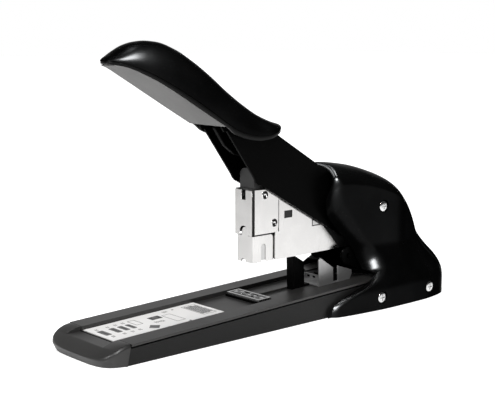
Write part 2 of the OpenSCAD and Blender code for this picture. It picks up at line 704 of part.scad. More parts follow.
module head_cheek_left() color([0.88, 0.88, 0.87]) mirror([0, 1, 0]) head_cheek();

arch_half = 3.9;
arch_z = gate_top_z + 2;          // centre of the arch in the front plate's lower edge

// Lower edge of the front plate: an arch in the middle, flaring out at both feet
function arch_edge() = let (
    foot_z = gate_top_z + 0.3,
    flare = 2,
    right = concat(
        arc([arch_half + flare, foot_z + flare], flare, 270, 180, 4),
        arc([0, arch_z + 1], arch_half, 0, 90, 6)))
    concat(right, [for (i = [len(right) - 2:-1:0]) [-right[i][0], right[i][1]]]);

module head_front()
    color([0.82, 0.82, 0.81]) along(front_x - 1.4, front_x - 0.2) polygon(concat(
        [[frame_out + 0.1, head_top_z - 0.4], [frame_out + 0.1, gate_top_z + 0.3]],
        arch_edge(),
        [[-frame_out - 0.1, gate_top_z + 0.3], [-frame_out - 0.1, head_top_z - 0.4],
            [-front_notch[0], head_top_z - 0.4], front_notch - [2 * front_notch[0], 0], front_notch,
            [front_notch[0], head_top_z - 0.4]]));

module head_rivets() {
    dome = 0.45;
    color([0.75, 0.75, 0.75]) for (at = rivet_at, side = [-1, 1])
        translate([at[0], side * plate_out, at[1]]) rotate([-90 * side, 0, 0]) rotate_extrude()
            polygon([[0, 0], [1.6, 0], [1.6, cheek_out - plate_out], [2.8, cheek_out - plate_out],
                [2.5, cheek_out - plate_out + dome * 0.5], [1.7, cheek_out - plate_out + dome * 0.85],
                [0, cheek_out - plate_out + dome]]);
}

module frame_spacers()
    color([0.5, 0.5, 0.5]) for (at = spacer_at) {
        cross_bar(at, 3, -frame_in, frame_in);
        cross_bar(at, 2, -frame_out - 0.6, frame_out + 0.6);
    }

module feed_roll()
    color([0.5, 0.52, 0.56]) {
        difference() {
            cross_bar(roll_at, roll_r, -4, 4);
            cross_bar(roll_at, pin_r, -5, 5);
        }
        // Ribbon down to the pusher
        block(roll_at[0] - roll_r - 0.2, roll_at[0] - roll_r, -3, 3, gate_top_z + 0.1, roll_at[1]);
        block(pusher_x[1] - 2, roll_at[0] - roll_r, -3, 3, gate_top_z + 0.1, gate_top_z + 0.3);
    }

module feed_roll_pin() color([0.6, 0.6, 0.6]) cross_bar(roll_at, pin_r, -frame_out, frame_out);

module release_pin() color([0.6, 0.6, 0.6]) cross_bar(release_at, pin_r, -frame_out, frame_out);

// ===== Loading drawer: slides forward out of the magazine =====

rail_x = [-17.8, 80];
rail_top = gate_top_z - 1.7;

gate_slot_x = -10.5;

module front_gate() {
    low = head_z - 0.2;
    tongue = arch_half - 0.5;
    color([0.87, 0.87, 0.86]) {
        along(front_x, front_x + 1) difference() {
            polygon(concat(
                [[-gate_out, low], [gate_out, low], [gate_out, gate_top_z], [tongue, gate_top_z]],
                arc([0, arch_z + 0.5], tongue, 0, 180, 12),
                [[-tongue, gate_top_z], [-gate_out, gate_top_z]]));
            translate([1.5, low]) circle(r = 2.2);
        }
        both_walls(channel_out, gate_out) polygon(concat(
            [[front_x, low], [gate_slot_x - 2, low]],
            arc([gate_slot_x, low + 10.2], 2, 180, 0, 8),
            [[gate_slot_x + 2, low], [seam_x - 0.4, low]],
            arc([seam_x - 3.4, gate_top_z - 3], 3, 0, 90, 5),
            [[front_x, gate_top_z]]));
    }
}

module staple_channel()
    color([0.6, 0.6, 0.6]) {
        both_walls(channel_in, channel_out)
            translate([front_x + 1, head_z + 0.8]) square([drawer_rear_x - front_x - 1, drawer_top - head_z - 0.8]);
        block(rail_x[1], drawer_rear_x, -channel_in, channel_in, head_z + 0.8, drawer_top);
    }

module staple_rail()
    color([0.65, 0.65, 0.65]) along(rail_x[0], rail_x[1]) difference() {
        translate([-rail_half, head_z + 0.8]) square([2 * rail_half, rail_top - head_z - 0.8]);
        translate([-rail_half + rail_wall, head_z]) square([2 * (rail_half - rail_wall), rail_top - rail_wall - head_z]);
    }

pusher_x = [-17, -4];

module staple_pusher()
    color([0.3, 0.3, 0.3]) along(pusher_x[0], pusher_x[1]) difference() {
        translate([-channel_in + 0.2, head_z + 5]) square([2 * channel_in - 0.4, gate_top_z - 0.2 - head_z - 5]);
        translate([-rail_half - 0.1, head_z]) square([2 * rail_half + 0.2, rail_top + 0.1 - head_z]);
    }

module release_lever() {
    inner = -frame_in + 0.1;
    color([0.45, 0.45, 0.45]) difference() {
        union() {
            across(inner, inner + 0.7) {
                translate(release_at) circle(r = 3);
                polygon([
                    release_at + [0, 3], [tab_x[1] - 1.4, 64.4], [tab_x[1] - 1.4, web_z + 0.2],
                    [tab_x[0] - 3, web_z + 0.6], release_at - [0.5, 3]]);
            }
            block(tab_x[0] + 0.7, tab_x[1] - 1.4, -plate_out + 0.1, inner, web_z + 1, 64.4);
        }
        cross_bar(release_at, pin_r + running, -arm_in, arm_in);
    }
}

// ===== Driver: slides down inside the head =====

carrier_x = [-18.6, 0.5];
carrier_z = [86, 105];
carrier_half = frame_in - 0.3;
drive_at = [-4.5, 97];
drive_r = 2.5;
blade_x = [-19.4, -18.3];
blade_z = [gate_top_z + 6.8, 91.4];
blade_half = crown_w / 2 - 0.05;
drive_half = 1.6;
// Notch in the front plate's top edge that the drive plate passes through
front_notch = [drive_half + 0.5, head_top_z - 7];

module driver_carrier() {
    corner_r = 5;
    color([0.3, 0.3, 0.31]) difference() {
        union() {
            along(carrier_x[0], carrier_x[1]) polygon(concat(
                [[-carrier_half, carrier_z[0]], [carrier_half, carrier_z[0]]],
                arc([carrier_half - corner_r, carrier_z[1] - corner_r], corner_r, 0, 90, 8),
                arc([corner_r - carrier_half, carrier_z[1] - corner_r], corner_r, 90, 180, 8)));
            block(front_x + 0.3, carrier_x[0], -carrier_half, carrier_half, carrier_z[0], blade_z[1]);
        }
        block(blade_x[0], blade_x[1], -blade_half, blade_half, carrier_z[0] - over, blade_z[1]);
        // Clears the front gate's tongue at the bottom of the stroke
        block(front_x, blade_x[0], -arch_half, arch_half, carrier_z[0] - over, carrier_z[0] + 4.3);
        // Slot for the lever's drive plate
        block(-17.2, carrier_x[1] + over, -drive_half - slack, drive_half + slack, carrier_z[0] - over, carrier_z[1] + over);
        cross_bar(drive_at, drive_r, -arm_in, arm_in);
    }
}

module driver_blade()
    color([0.7, 0.7, 0.7]) block(blade_x[0], blade_x[1], -blade_half, blade_half, blade_z[0], blade_z[1]);

module drive_pin() color([0.7, 0.7, 0.7]) cross_bar(drive_at, drive_r, -carrier_half, carrier_half);

// ===== Lever: hinges on the main pivot and pushes the driver down =====

// Lower and upper edges of the lever's walls, as straight lines
arm_low_a = [-17.6, 94.7];
arm_low_b = [53.4, 55];
arm_top_a = [-3, 127.8];
arm_top_b = [45.2, 98.9];
arm_low_angle = atan2(arm_low_a[1] - arm_low_b[1], arm_low_b[0] - arm_low_a[0]);
arm_ear_r = (pivot[1] - line_z(arm_low_a, arm_low_b, pivot[0])) * cos(arm_low_angle);
arm_grip_top = [-44, 146];        // the top web's front end, inside the grip
web_drop = arm_t / cos(atan2(arm_top_a[1] - arm_top_b[1], arm_top_b[0] - arm_top_a[0]));
web_end = [100, line_z(arm_top_a, arm_top_b, 100)];
web_low = [arm_grip_top - [0.5, web_drop], arm_top_a - [0.4, web_drop], web_end - [0, web_drop]];
function web_under(x) = x < web_low[1][0] ? line_z(web_low[0], web_low[1], x) : line_z(web_low[1], web_low[2], x);

module lever_arm() {
    tuck = 0.25;                  // the walls' front end stays under the grip's panel
    color([0.07, 0.07, 0.075]) difference() {
        union() {
            both_walls(arm_in, arm_out) {
                polygon([
                    arm_grip_top, [-50.5, line_z([-70, 145.6], [-53, 135.8], -50.5) + tuck], [-48.6, 131.8],
                    [-46.3, 132.2], [-23.2, 100.4], [-21.6, 97.6], [-19.6, 95.6], arm_low_a,
                    pivot - arm_ear_r * [sin(arm_low_angle), cos(arm_low_angle)],
                    pivot + 12 * [sin(31), cos(31)], web_end, arm_top_a]);
                translate(pivot) circle(r = arm_ear_r);
            }
            // Top web
            across(-arm_out, arm_out) polygon(concat([web_end, arm_top_a, arm_grip_top], web_low));
        }
        cross_bar(pivot, pivot_d / 2 + running, -bracket_in, bracket_in);
        for (at = grip_screw_at) at_web(at, 0) translate([0, 0, -8]) cylinder(r = 1.9, h = 16);
    }
}

// Path of the drive pin in the lever's slot while the driver goes down
slot_run = [8.3, -2.1];
slot_a = atan2(slot_run[1], slot_run[0]);

module drive_plate()
    color([0.09, 0.09, 0.09]) across(-drive_half, drive_half) difference() {
        polygon([
            [-43.5, web_under(-43.5) - 0.05], [-46.6, 136.2], [-47.6, 133.6], [-39, 121.4], [-31, 115.3],
            [-24, 113.3], [-15, 111.5], [-9, 110.4], [-6.4, 106.5], [-6.4, 91.5], [7, 88.8], [12, 100],
            [14, web_under(14) - 0.05], web_low[1] - [0, 0.05]]);
        // The pin's slot, open to the front
        polygon(concat(
            arc(drive_at - slot_run / 2, drive_r + 0.5, slot_a + 270, slot_a + 90, 12),
            arc(drive_at + slot_run, drive_r + 0.5, slot_a + 90, slot_a - 90, 12)));
    }

// --- grip ---

// Side view of the grip: crest, lower edge of the glossy shell, underside of the rim
grip_x = [-133, 6.5];
grip_crest = [[grip_x[0], grip_top_z - 11.7], [-128, grip_top_z - 9.2], [-122, grip_top_z - 5.3],
    [-116, grip_top_z - 2.4], [-110, grip_top_z - 0.8], [-103, grip_top_z], [-95, grip_top_z - 0.8],
    [-82, grip_top_z - 5.2], [-70, grip_top_z - 11.8], [-57, grip_top_z - 20.6], [-43.5, grip_top_z - 31],
    [-30, grip_top_z - 40.5], [-16, grip_top_z - 49], [-3, grip_top_z - 54.3], [grip_x[1], grip_top_z - 56.7]];
grip_seam = [[grip_x[0], 178.4], [-129, 178], [-122, 176.3], [-114, 173.3], [-105, 169.2], [-95, 164], [-86, 159.2],
    [-76, 153.6], [-65, 147], [-52, 138.8], [-43, 133.6], [-32, 129.8], [-20, 128.1], [-9, 128.8], [-2, 130.4],
    [grip_x[1], 132.4]];
grip_under = [[grip_x[0], 176.6], [-130, 176], [-125, 174.8], [-120, 172.9], [-110, 168.2], [-100, 163],
    [-90, 157.3], [-70, 145.6], [-53, 135.8], [-43, 130], [-32, 126.4], [-22, 125], [-13, 125.6], [-5, 127.6],
    [grip_x[1], 130.4]];
grip_front_a = 45;                // length of the rounded front in plan
grip_rear_a = 21;                 // length of the rounded rear in plan

// Half width of the grip in plan
function grip_half(x) = grip_half_w * sqrt(max(0, 1
    - pow(max(0, grip_x[0] + grip_front_a - x) / grip_front_a, 2)
    - pow(max(0, x - grip_x[1] + grip_rear_a) / grip_rear_a, 2)));

// Grid over the domed top, t inside the outer surface
function grip_grid(t, rows = 34, columns = 18) =
    let (lo = grip_x[0] + 2.4 * t, hi = grip_x[1] - 1.2 * t)
    [for (i = [0:rows]) let (x = mix(lo, hi, (1 - cos(180 * i / rows)) / 2)) [for (j = [0:columns])
        let (
            a = -90 + 180 * j / columns,
            half = grip_half(mix(grip_x[0], grip_x[1], (x - lo) / (hi - lo))) * (1 - t / grip_half_w),
            rim = curve(grip_seam, x),
            rise = max(0.3, curve(grip_crest, x) - t - rim))
        (i == 0 || i == rows) ? [x, 0, rim]
            : [x, half * sign(a) * pow(abs(sin(a)), 0.8), rim + rise * pow(max(0, cos(a)), 0.72)]]];

module handle_shell()
    color([0.05, 0.05, 0.055]) skin(grip_grid(0), grip_grid(grip_t), front_point = true);

// Plan outline of the grip, inset by t, as a ring of points
function grip_ring(t, n = 72) = [for (i = [0:n - 1])
    let (
        a = 360 * i / n,
        x = mix(grip_x[0] + t, grip_x[1] - t, (1 - cos(a)) / 2),
        w = grip_half(mix(grip_x[0], grip_x[1], (1 - cos(a)) / 2)) * (1 - t / grip_half_w))
    [x, a < 180 ? -w : w]];

frame_wall = 2;
panel_lap = 0.7;                  // the panel covers the rim's lower edge by this much
panel_x = [grip_x[0] + 4, -52.8];
rim_step = [-50, -44];            // behind the panel the rim comes down to its full depth here
function rim_under(x) = curve(grip_under, x)
    + (panel_lap + 0.25) * (1 - ease((x - rim_step[0]) / (rim_step[1] - rim_step[0])));

module handle_frame() {
    outer = grip_ring(0.3);
    inner = grip_ring(0.3 + frame_wall);
    n = len(outer);
    points = concat(
        [for (p = outer) [p[0], p[1], curve(grip_seam, p[0]) - 0.08]],
        [for (p = outer) [p[0], p[1], rim_under(p[0])]],
        [for (p = inner) [p[0], p[1], rim_under(p[0])]],
        [for (p = inner) [p[0], p[1], curve(grip_seam, p[0]) - 0.08]]);
    color([0.2, 0.2, 0.2]) polyhedron(points, [for (ring = [0:3], i = [0:n - 1])
        let (a = ring * n, b = ((ring + 1) % 4) * n, k = (i + 1) % n)
        each [[a + i, a + k, b + k], [a + i, b + k, b + i]]]);
}

panel_t = 2;

// Layer under the grip, t inside its plan outline, between two heights above the underside
module under_layer(t, low, high, rows = 26)
    intersection() {
        linear_extrude(grip_top_z) polygon(grip_ring(t));
        across(-grip_half_w, grip_half_w) polygon(concat(
            [for (i = [0:rows]) let (x = mix(panel_x[0], panel_x[1], i / rows)) [x, curve(grip_under, x) + low]],
            [for (i = [rows:-1:0]) let (x = mix(panel_x[0], panel_x[1], i / rows)) [x, curve(grip_under, x) + high]]));
    }

module handle_panel()
    color([0.52, 0.51, 0.5]) {
        under_layer(0.5, 0, panel_lap);
        under_layer(0.3 + frame_wall + 0.3, panel_lap, panel_t);
    }

grip_screw_at = [[-34, -5.5], [-34, 5.5], [-17, -5.5], [-17, 5.5]];
web_angle = atan2(arm_grip_top[1] - arm_top_a[1], arm_top_a[0] - arm_grip_top[0]);

// Frame on the lever's top web inside the grip: Z is the web's normal
module at_web(at, lift)
    translate([at[0], at[1], line_z(arm_top_a, arm_grip_top, at[0])]) rotate([0, web_angle, 0])
        translate([0, 0, lift]) children();

module handle_core()
    color([0.1, 0.1, 0.1]) difference() {
        across(-9, 9) polygon([
            [-43, line_z(arm_top_a, arm_grip_top, -43)], [-8, line_z(arm_top_a, arm_grip_top, -8)],
            for (x = [-8:-7:-43]) [x, curve(grip_crest, x) - grip_t - 2.5]]);
        for (at = grip_screw_at) at_web(at, 0) translate([0, 0, -over]) cylinder(r = 1.65, h = 6);
    }

module handle_screws()
    color([0.6, 0.6, 0.6]) for (at = grip_screw_at)
        at_web(at, -arm_t - 0.3) mirror([0, 0, 1]) screw(3.2, 1.8, 1.6, 6);

spring_coil_r = 6.4;
spring_wire = 0.9;

module lever_spring() {
    turns = 6;
    steps = 16;
    reach = 5.2;
    path = concat(
        [[90, -reach, 60], [99, -reach, 52]],
        [for (i = [0:turns * steps]) let (a = 150 + 360 * i / steps)
            [pivot[0] + spring_coil_r * cos(a), mix(-reach, reach, i / (turns * steps)), pivot[1] + spring_coil_r * sin(a)]],
        [[101, reach, 55.5], [93, reach, 66.6]]);
    color([0.6, 0.6, 0.6]) wire(path, spring_wire);
}

base_tray();
base_plate();
nose_cap();
guide_label();
anvil_block();
anvil_plate();
anvil_screws();
frame_bracket();
frame_bolts();
pivot_pin();
pivot_clips();
pivot_washers();
housing_right();
housing_left();
housing_standoffs();
housing_screws();
rubber_feet();
tray_screws();
spring_seat();
lift_spring();
stop_post();
stop_carriage();
stop_slider();
stop_rivets();
magazine_frame();
side_plate_right();
side_plate_left();
head_cheek_right();
head_cheek_left();
head_front();
head_rivets();
frame_spacers();
feed_roll();
feed_roll_pin();
release_pin();
front_gate();
staple_channel();
staple_rail();
staple_pusher();
release_lever();
driver_carrier();
driver_blade();
drive_pin();
lever_arm();
drive_plate();
handle_shell();
handle_frame();
handle_panel();
handle_core();
handle_screws();
lever_spring();
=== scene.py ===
"""Looks of a heavy-duty desktop stapler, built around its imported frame.

Lengths of the object are in millimetres until they reach a mesh; Blender's own units are metres.
X runs from the nose to the rear housing, Y across to the left, Z up from the table.
"""

from __future__ import annotations

import json
import logging
import math
from dataclasses import dataclass, field
from enum import Enum
from typing import Callable, Iterable, Sequence

import bmesh
import bpy
import numpy as np
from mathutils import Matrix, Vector

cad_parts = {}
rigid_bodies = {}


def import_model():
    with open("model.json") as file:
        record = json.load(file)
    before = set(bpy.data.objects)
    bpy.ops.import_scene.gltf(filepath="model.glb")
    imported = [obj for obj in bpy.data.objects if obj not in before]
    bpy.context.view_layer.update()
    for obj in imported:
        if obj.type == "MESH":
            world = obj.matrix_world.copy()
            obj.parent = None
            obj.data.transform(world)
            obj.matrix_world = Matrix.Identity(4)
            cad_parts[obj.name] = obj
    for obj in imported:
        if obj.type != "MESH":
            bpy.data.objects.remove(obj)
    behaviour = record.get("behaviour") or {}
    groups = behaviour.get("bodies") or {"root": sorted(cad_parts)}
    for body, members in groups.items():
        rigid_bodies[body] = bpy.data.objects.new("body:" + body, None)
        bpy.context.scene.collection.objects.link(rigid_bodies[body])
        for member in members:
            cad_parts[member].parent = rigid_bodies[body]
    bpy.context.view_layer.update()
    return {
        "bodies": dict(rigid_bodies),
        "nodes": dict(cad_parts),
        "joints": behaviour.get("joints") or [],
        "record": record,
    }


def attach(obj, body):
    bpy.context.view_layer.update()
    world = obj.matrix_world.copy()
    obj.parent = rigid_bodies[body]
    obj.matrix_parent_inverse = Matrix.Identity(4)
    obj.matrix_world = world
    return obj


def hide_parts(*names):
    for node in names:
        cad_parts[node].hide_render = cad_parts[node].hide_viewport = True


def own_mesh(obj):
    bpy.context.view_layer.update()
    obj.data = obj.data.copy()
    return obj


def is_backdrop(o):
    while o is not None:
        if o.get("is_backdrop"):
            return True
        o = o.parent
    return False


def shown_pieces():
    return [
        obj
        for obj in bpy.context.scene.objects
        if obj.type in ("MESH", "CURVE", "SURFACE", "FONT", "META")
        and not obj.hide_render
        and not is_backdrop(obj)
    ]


log = logging.getLogger("stapler")

MM = 0.001
PER_METRE = 1000

Point = tuple[float, float, float]
Pair = tuple[float, float]

# Where the cheek rivets and the middle of the anvil are: the finishes need them too
RIVETS: tuple[Pair, ...] = ((-11.2, 87.0), (-2.6, 67.2))
ANVIL_X = -17.1


# ----------------------------------------------------------------------------------------------
# Shader maths
# ----------------------------------------------------------------------------------------------


@dataclass(frozen=True)
class Sock:
    """A value in a node tree that can be used in Python expressions.

    Args:
        graph: The tree that the value lives in.
        out: The output socket that carries it.
    """

    graph: "Graph"
    out: bpy.types.NodeSocket

    def _math(self, operation: str, *values: "Sock | float") -> "Sock":
        """Adds a Math node on values."""
        return self.graph.node("ShaderNodeMath", {"operation": operation}, dict(enumerate(values)))[0]

    def __add__(self, other: "Sock | float") -> "Sock":
        """Sum."""
        return self._math("ADD", self, other)

    __radd__ = __add__

    def __sub__(self, other: "Sock | float") -> "Sock":
        """Difference."""
        return self._math("SUBTRACT", self, other)

    def __rsub__(self, other: "Sock | float") -> "Sock":
        """Difference from a plain number."""
        return self._math("SUBTRACT", other, self)

    def __mul__(self, other: "Sock | float") -> "Sock":
        """Product."""
        return self._math("MULTIPLY", self, other)

    __rmul__ = __mul__

    def __truediv__(self, other: "Sock | float") -> "Sock":
        """Quotient."""
        return self._math("DIVIDE", self, other)

    def __abs__(self) -> "Sock":
        """Size without its sign."""
        return self._math("ABSOLUTE", self)

    def __pow__(self, other: float) -> "Sock":
        """Power."""
        return self._math("POWER", self, other)

    def clamp(self, low: float = 0.0, high: float = 1.0) -> "Sock":
        """The value held between two limits."""
        return self._math("MINIMUM", self._math("MAXIMUM", self, low), high)

    def smooth(self, low: float, high: float) -> "Sock":
        """A soft step from 0 at low to 1 at high."""
        fields = {"Value": self, "From Min": low, "From Max": high, "To Min": 0.0, "To Max": 1.0}
        return self.graph.node("ShaderNodeMapRange", {"interpolation_type": "SMOOTHSTEP"}, fields)[0]


class Graph:
    """A node tree, filled from Python.

    Args:
        tree: The tree to fill.
    """

    def __init__(self, tree: bpy.types.NodeTree) -> None:
        """Takes a tree and empties it."""
        self.tree = tree
        tree.nodes.clear()

    def node(self, kind: str, settings: dict | None = None, inputs: dict | None = None) -> list[Sock]:
        """Adds one node.

        Args:
            kind: The node's type name.
            settings: Attributes set before its sockets are used.
            inputs: Values or links by socket name or number.

        Returns:
            The node's enabled outputs.
        """
        made = self.tree.nodes.new(kind)
        for name, value in (settings or {}).items():
            setattr(made, name, value)
        for key, value in (inputs or {}).items():
            named = (s for s in made.inputs if s.name == key and s.enabled)
            socket = made.inputs[key] if isinstance(key, int) else next(named)
            if isinstance(value, Sock):
                self.tree.links.new(value.out, socket)
            else:
                socket.default_value = value
        return [Sock(self, out) for out in made.outputs if out.enabled]

    def place(self) -> Sock:
        """The point on the piece, in the object's own metres."""
        made = self.tree.nodes.new("ShaderNodeTexCoord")
        return Sock(self, made.outputs["Object"])

    def scaled(self, point: Sock, scale: Point) -> Sock:
        """A point stretched along each axis."""
        return self.node("ShaderNodeVectorMath", {"operation": "MULTIPLY"}, {0: point, 1: scale})[0]

    def axes(self, point: Sock) -> list[Sock]:
        """The X, Y and Z of a point."""
        return self.node("ShaderNodeSeparateXYZ", inputs={0: point})

    def noise(self, point: Sock, scale: float, detail: float = 2.0, rough: float = 0.5) -> Sock:
        """Soft noise between about 0.3 and 0.7."""
        fields = {"Vector": point, "Scale": scale, "Detail": detail, "Roughness": rough}
        return self.node("ShaderNodeTexNoise", inputs=fields)[0]

    def mix(self, share: "Sock | float", low: Point, high: Point) -> Sock:
        """A colour between low and high.

        Args:
            share: Share of high, from 0 to 1.
            low: Colour at 0.
            high: Colour at 1.

        Returns:
            The mixed colour.
        """
        made = self.tree.nodes.new("ShaderNodeMix")
        made.data_type = "RGBA"
        for name, value in (("Factor_Float", share), ("A_Color", low), ("B_Color", high)):
            socket = next(s for s in made.inputs if s.identifier == name)
            if isinstance(value, Sock):
                self.tree.links.new(value.out, socket)
            else:
                socket.default_value = (*value, 1.0) if isinstance(value, tuple) else value
        return Sock(self, next(s for s in made.outputs if s.identifier == "Result_Color"))

    def bump(self, height: Sock, distance: float, strength: float = 1.0) -> Sock:
        """A normal bent by a height field; distance is in millimetres."""
        fields = {"Height": height, "Distance": distance * MM, "Strength": strength}
        return self.node("ShaderNodeBump", inputs=fields)[0]

    def surface(self, **inputs: "Sock | float | tuple") -> None:
        """Ends the tree in a Principled surface; names use _ for a space.

        Args:
            inputs: Values or links of the surface.
        """
        fields = {name.replace("_", " "): value for name, value in inputs.items()}
        shader = self.node("ShaderNodeBsdfPrincipled", inputs=fields)[0]
        self.node("ShaderNodeOutputMaterial", inputs={"Surface": shader})


# ----------------------------------------------------------------------------------------------
# Finishes
# ----------------------------------------------------------------------------------------------


def grey(value: float, warm: float = 0.0) -> Point:
    """A grey with a slight warm or cool cast."""
    return (value * (1 + warm), value, value * (1 - warm))


@dataclass(frozen=True)
class Moulded:
    """A moulded plastic.

    Args:
        base: Colour.
        roughness: Mean roughness.
        spread: How far the roughness wanders.
        grain: Size of the surface grain in millimetres.
        depth: Depth of the grain in millimetres.
        gloss: Specular level.
        even: Whether it mirrors evenly at all angles, as a deep black polish does.
            Its base is then the strength of the mirror.
    """

    base: Point
    roughness: float
    spread: float = 0.06
    grain: float = 0.5
    depth: float = 0.01
    gloss: float = 0.5
    even: bool = False

    def paint(self, g: Graph) -> None:
        """Fills the tree.

        Args:
            g: The material's tree, empty.
        """
        at = g.place()
        grain = g.noise(at, 1 / (self.grain * MM), 3)
        haze = g.noise(at, 38, 3)
        dust = g.noise(at, 900, 2).smooth(0.62, 0.72)
        lighter = tuple(min(1.0, c * 1.3 + 0.0003) for c in self.base)
        g.surface(
            Base_Color=g.mix(haze.smooth(0.35, 0.7) * 0.6 + dust * 0.25, self.base, lighter),
            Roughness=(self.roughness + (haze - 0.5) * self.spread * 2 + dust * 0.05).clamp(0.04, 0.95),
            Normal=g.bump(grain, self.depth),
            Specular_IOR_Level=self.gloss,
            Metallic=float(self.even),
            Specular_Tint=(*grey(0.4 if self.even else 1.0), 1.0),
        )


@dataclass(frozen=True)
class Painted:
    """Steel under a baked paint: a fine orange peel, and random patches rubbed a little brighter.

    Args:
        base: Colour.
        roughness: Mean roughness.
        peel: Size of the orange peel in millimetres.
        depth: Its depth in millimetres.
        gloss: Specular level.
    """

    base: Point
    roughness: float
    peel: float = 0.9
    depth: float = 0.012
    gloss: float = 0.5

    def paint(self, g: Graph) -> None:
        """Fills the tree.

        Args:
            g: The material's tree, empty.
        """
        at = g.place()
        peel = g.noise(at, 1 / (self.peel * MM), 2)
        cloud = g.noise(at, 24, 4, 0.6)
        fleck = g.noise(at, 2600, 1)
        rub = tuple(c * 1.3 + 0.0006 for c in self.base)
        g.surface(
            Base_Color=g.mix(cloud.smooth(0.4, 0.75) * 0.5 + fleck.smooth(0.6, 0.75) * 0.3, self.base, rub),
            Roughness=(self.roughness + (cloud - 0.5) * 0.16 + (fleck - 0.5) * 0.08).clamp(0.1, 0.9),
            Normal=g.bump(peel + fleck * 0.3, self.depth),
            Specular_IOR_Level=self.gloss,
        )


class Brush(Enum):
    """Which way the fine marks on a metal run: the stretch of its noise along each axis."""

    UP = (1.0, 1.0, 0.03)
    ACROSS = (1.0, 0.03, 1.0)
    NONE = (1.0, 1.0, 1.0)


@dataclass(frozen=True)
class Plated:
    """Bare or plated steel with fine drawing marks and soft smudges.

    Args:
        base: Colour of the reflection.
        roughness: Mean roughness.
        brush: Which way the marks run.
        marks: Depth of the marks in millimetres.
        stain: How much darker the smudges are, from 0 to 1.
        metal: How metallic it is, from 0 to 1.
        darkening: Where its colour is darkened, if anywhere: painted shade in the rivet dishes, a darker
            middle on the anvil.
    """

    base: Point
    roughness: float
    brush: Brush = Brush.UP
    marks: float = 0.002
    stain: float = 0.12
    metal: float = 1.0
    soot: "Callable[[Graph, Sock], Sock] | None" = None

    def paint(self, g: Graph) -> None:
        """Fills the tree.

        Args:
            g: The material's tree, empty.
        """
        at = g.place()
        lines = g.noise(g.scaled(at, self.brush.value), 2400, 2, 0.6)
        smudge = g.noise(at, 55, 4, 0.55)
        dark = tuple(c * (1 - self.stain) for c in self.base)
        colour = g.mix(smudge.smooth(0.42, 0.68), dark, self.base)
        # Darkens the colour where the mask says: painted shade in the rivet dishes, the darker middle of the
        # anvil
        if self.soot:
            colour = g.mix(self.soot(g, at), colour, grey(0.02))
        g.surface(
            Base_Color=colour,
            Roughness=(self.roughness + (lines - 0.5) * 0.14 + (smudge - 0.5) * 0.12).clamp(0.05, 0.8),
            Metallic=self.metal,
            Normal=g.bump(lines, self.marks),
        )


def dish_painted_shade(g: Graph, at: Sock) -> Sock:
    """Painted shade in the dishes of the cheek rivets: a dark ring set off to the lower right, so that the
    upper left of each dish is darker.

    Args:
        g: The material's tree.
        at: The point on the piece.

    Returns:
        The share of painted shade, from 0 to 1.
    """
    inner, outer = (1.0, 1.35), (2.35, 2.7)
    off_x, off_z = 0.35, -0.45
    x, _, z = g.axes(at)
    share: Sock | float = 0.0
    for rivet_x, rivet_z in RIVETS:
        far = ((x * PER_METRE - rivet_x - off_x) ** 2 + (z * PER_METRE - rivet_z - off_z) ** 2) ** 0.5
        share = far.smooth(*inner) * (1 - far.smooth(*outer)) + share
    return share.clamp()


def anvil_dark_middle(g: Graph, at: Sock) -> Sock:
    """The anvil's darker middle: its border and the worn places by the pockets stay bright.

    Args:
        g: The material's tree.
        at: The point on the piece.

    Returns:
        The share of soot, from 0 to 1.
    """
    border_x, border_y = (4.1, 4.5), (15.2, 15.6)
    pocket_x, pocket_y = (2.4, 3.2), (8.5, 10.5)
    x, y, _ = g.axes(at)
    along, across = abs(x * PER_METRE - ANVIL_X), abs(y * PER_METRE)
    inside = (1 - along.smooth(*border_x)) * (1 - across.smooth(*border_y))
    worn = g.noise(g.scaled(at, (1.0, 0.45, 1.0)), 620, 2).smooth(0.5, 0.58)
    near = (1 - across.smooth(*pocket_y)) * (1 - along.smooth(*pocket_x))
    return (inside - worn * near * 0.9).clamp()


@dataclass(frozen=True)
class Printed:
    """Coated paper: a faint fibre and a satin skin.

    Args:
        base: Colour.
        roughness: Mean roughness.
    """

    base: Point
    roughness: float = 0.45

    def paint(self, g: Graph) -> None:
        """Fills the tree.

        Args:
            g: The material's tree, empty.
        """
        at = g.place()
        fibre = g.noise(at, 1500, 3)
        tone = g.noise(at, 30, 2)
        dull = tuple(c * 0.93 for c in self.base)
        g.surface(
            Base_Color=g.mix(tone.smooth(0.35, 0.7) * 0.5 + fibre.smooth(0.55, 0.8) * 0.3, self.base, dull),
            Roughness=(self.roughness + (fibre - 0.5) * 0.1).clamp(0.2, 0.9),
            Normal=g.bump(fibre, 0.006),
        )


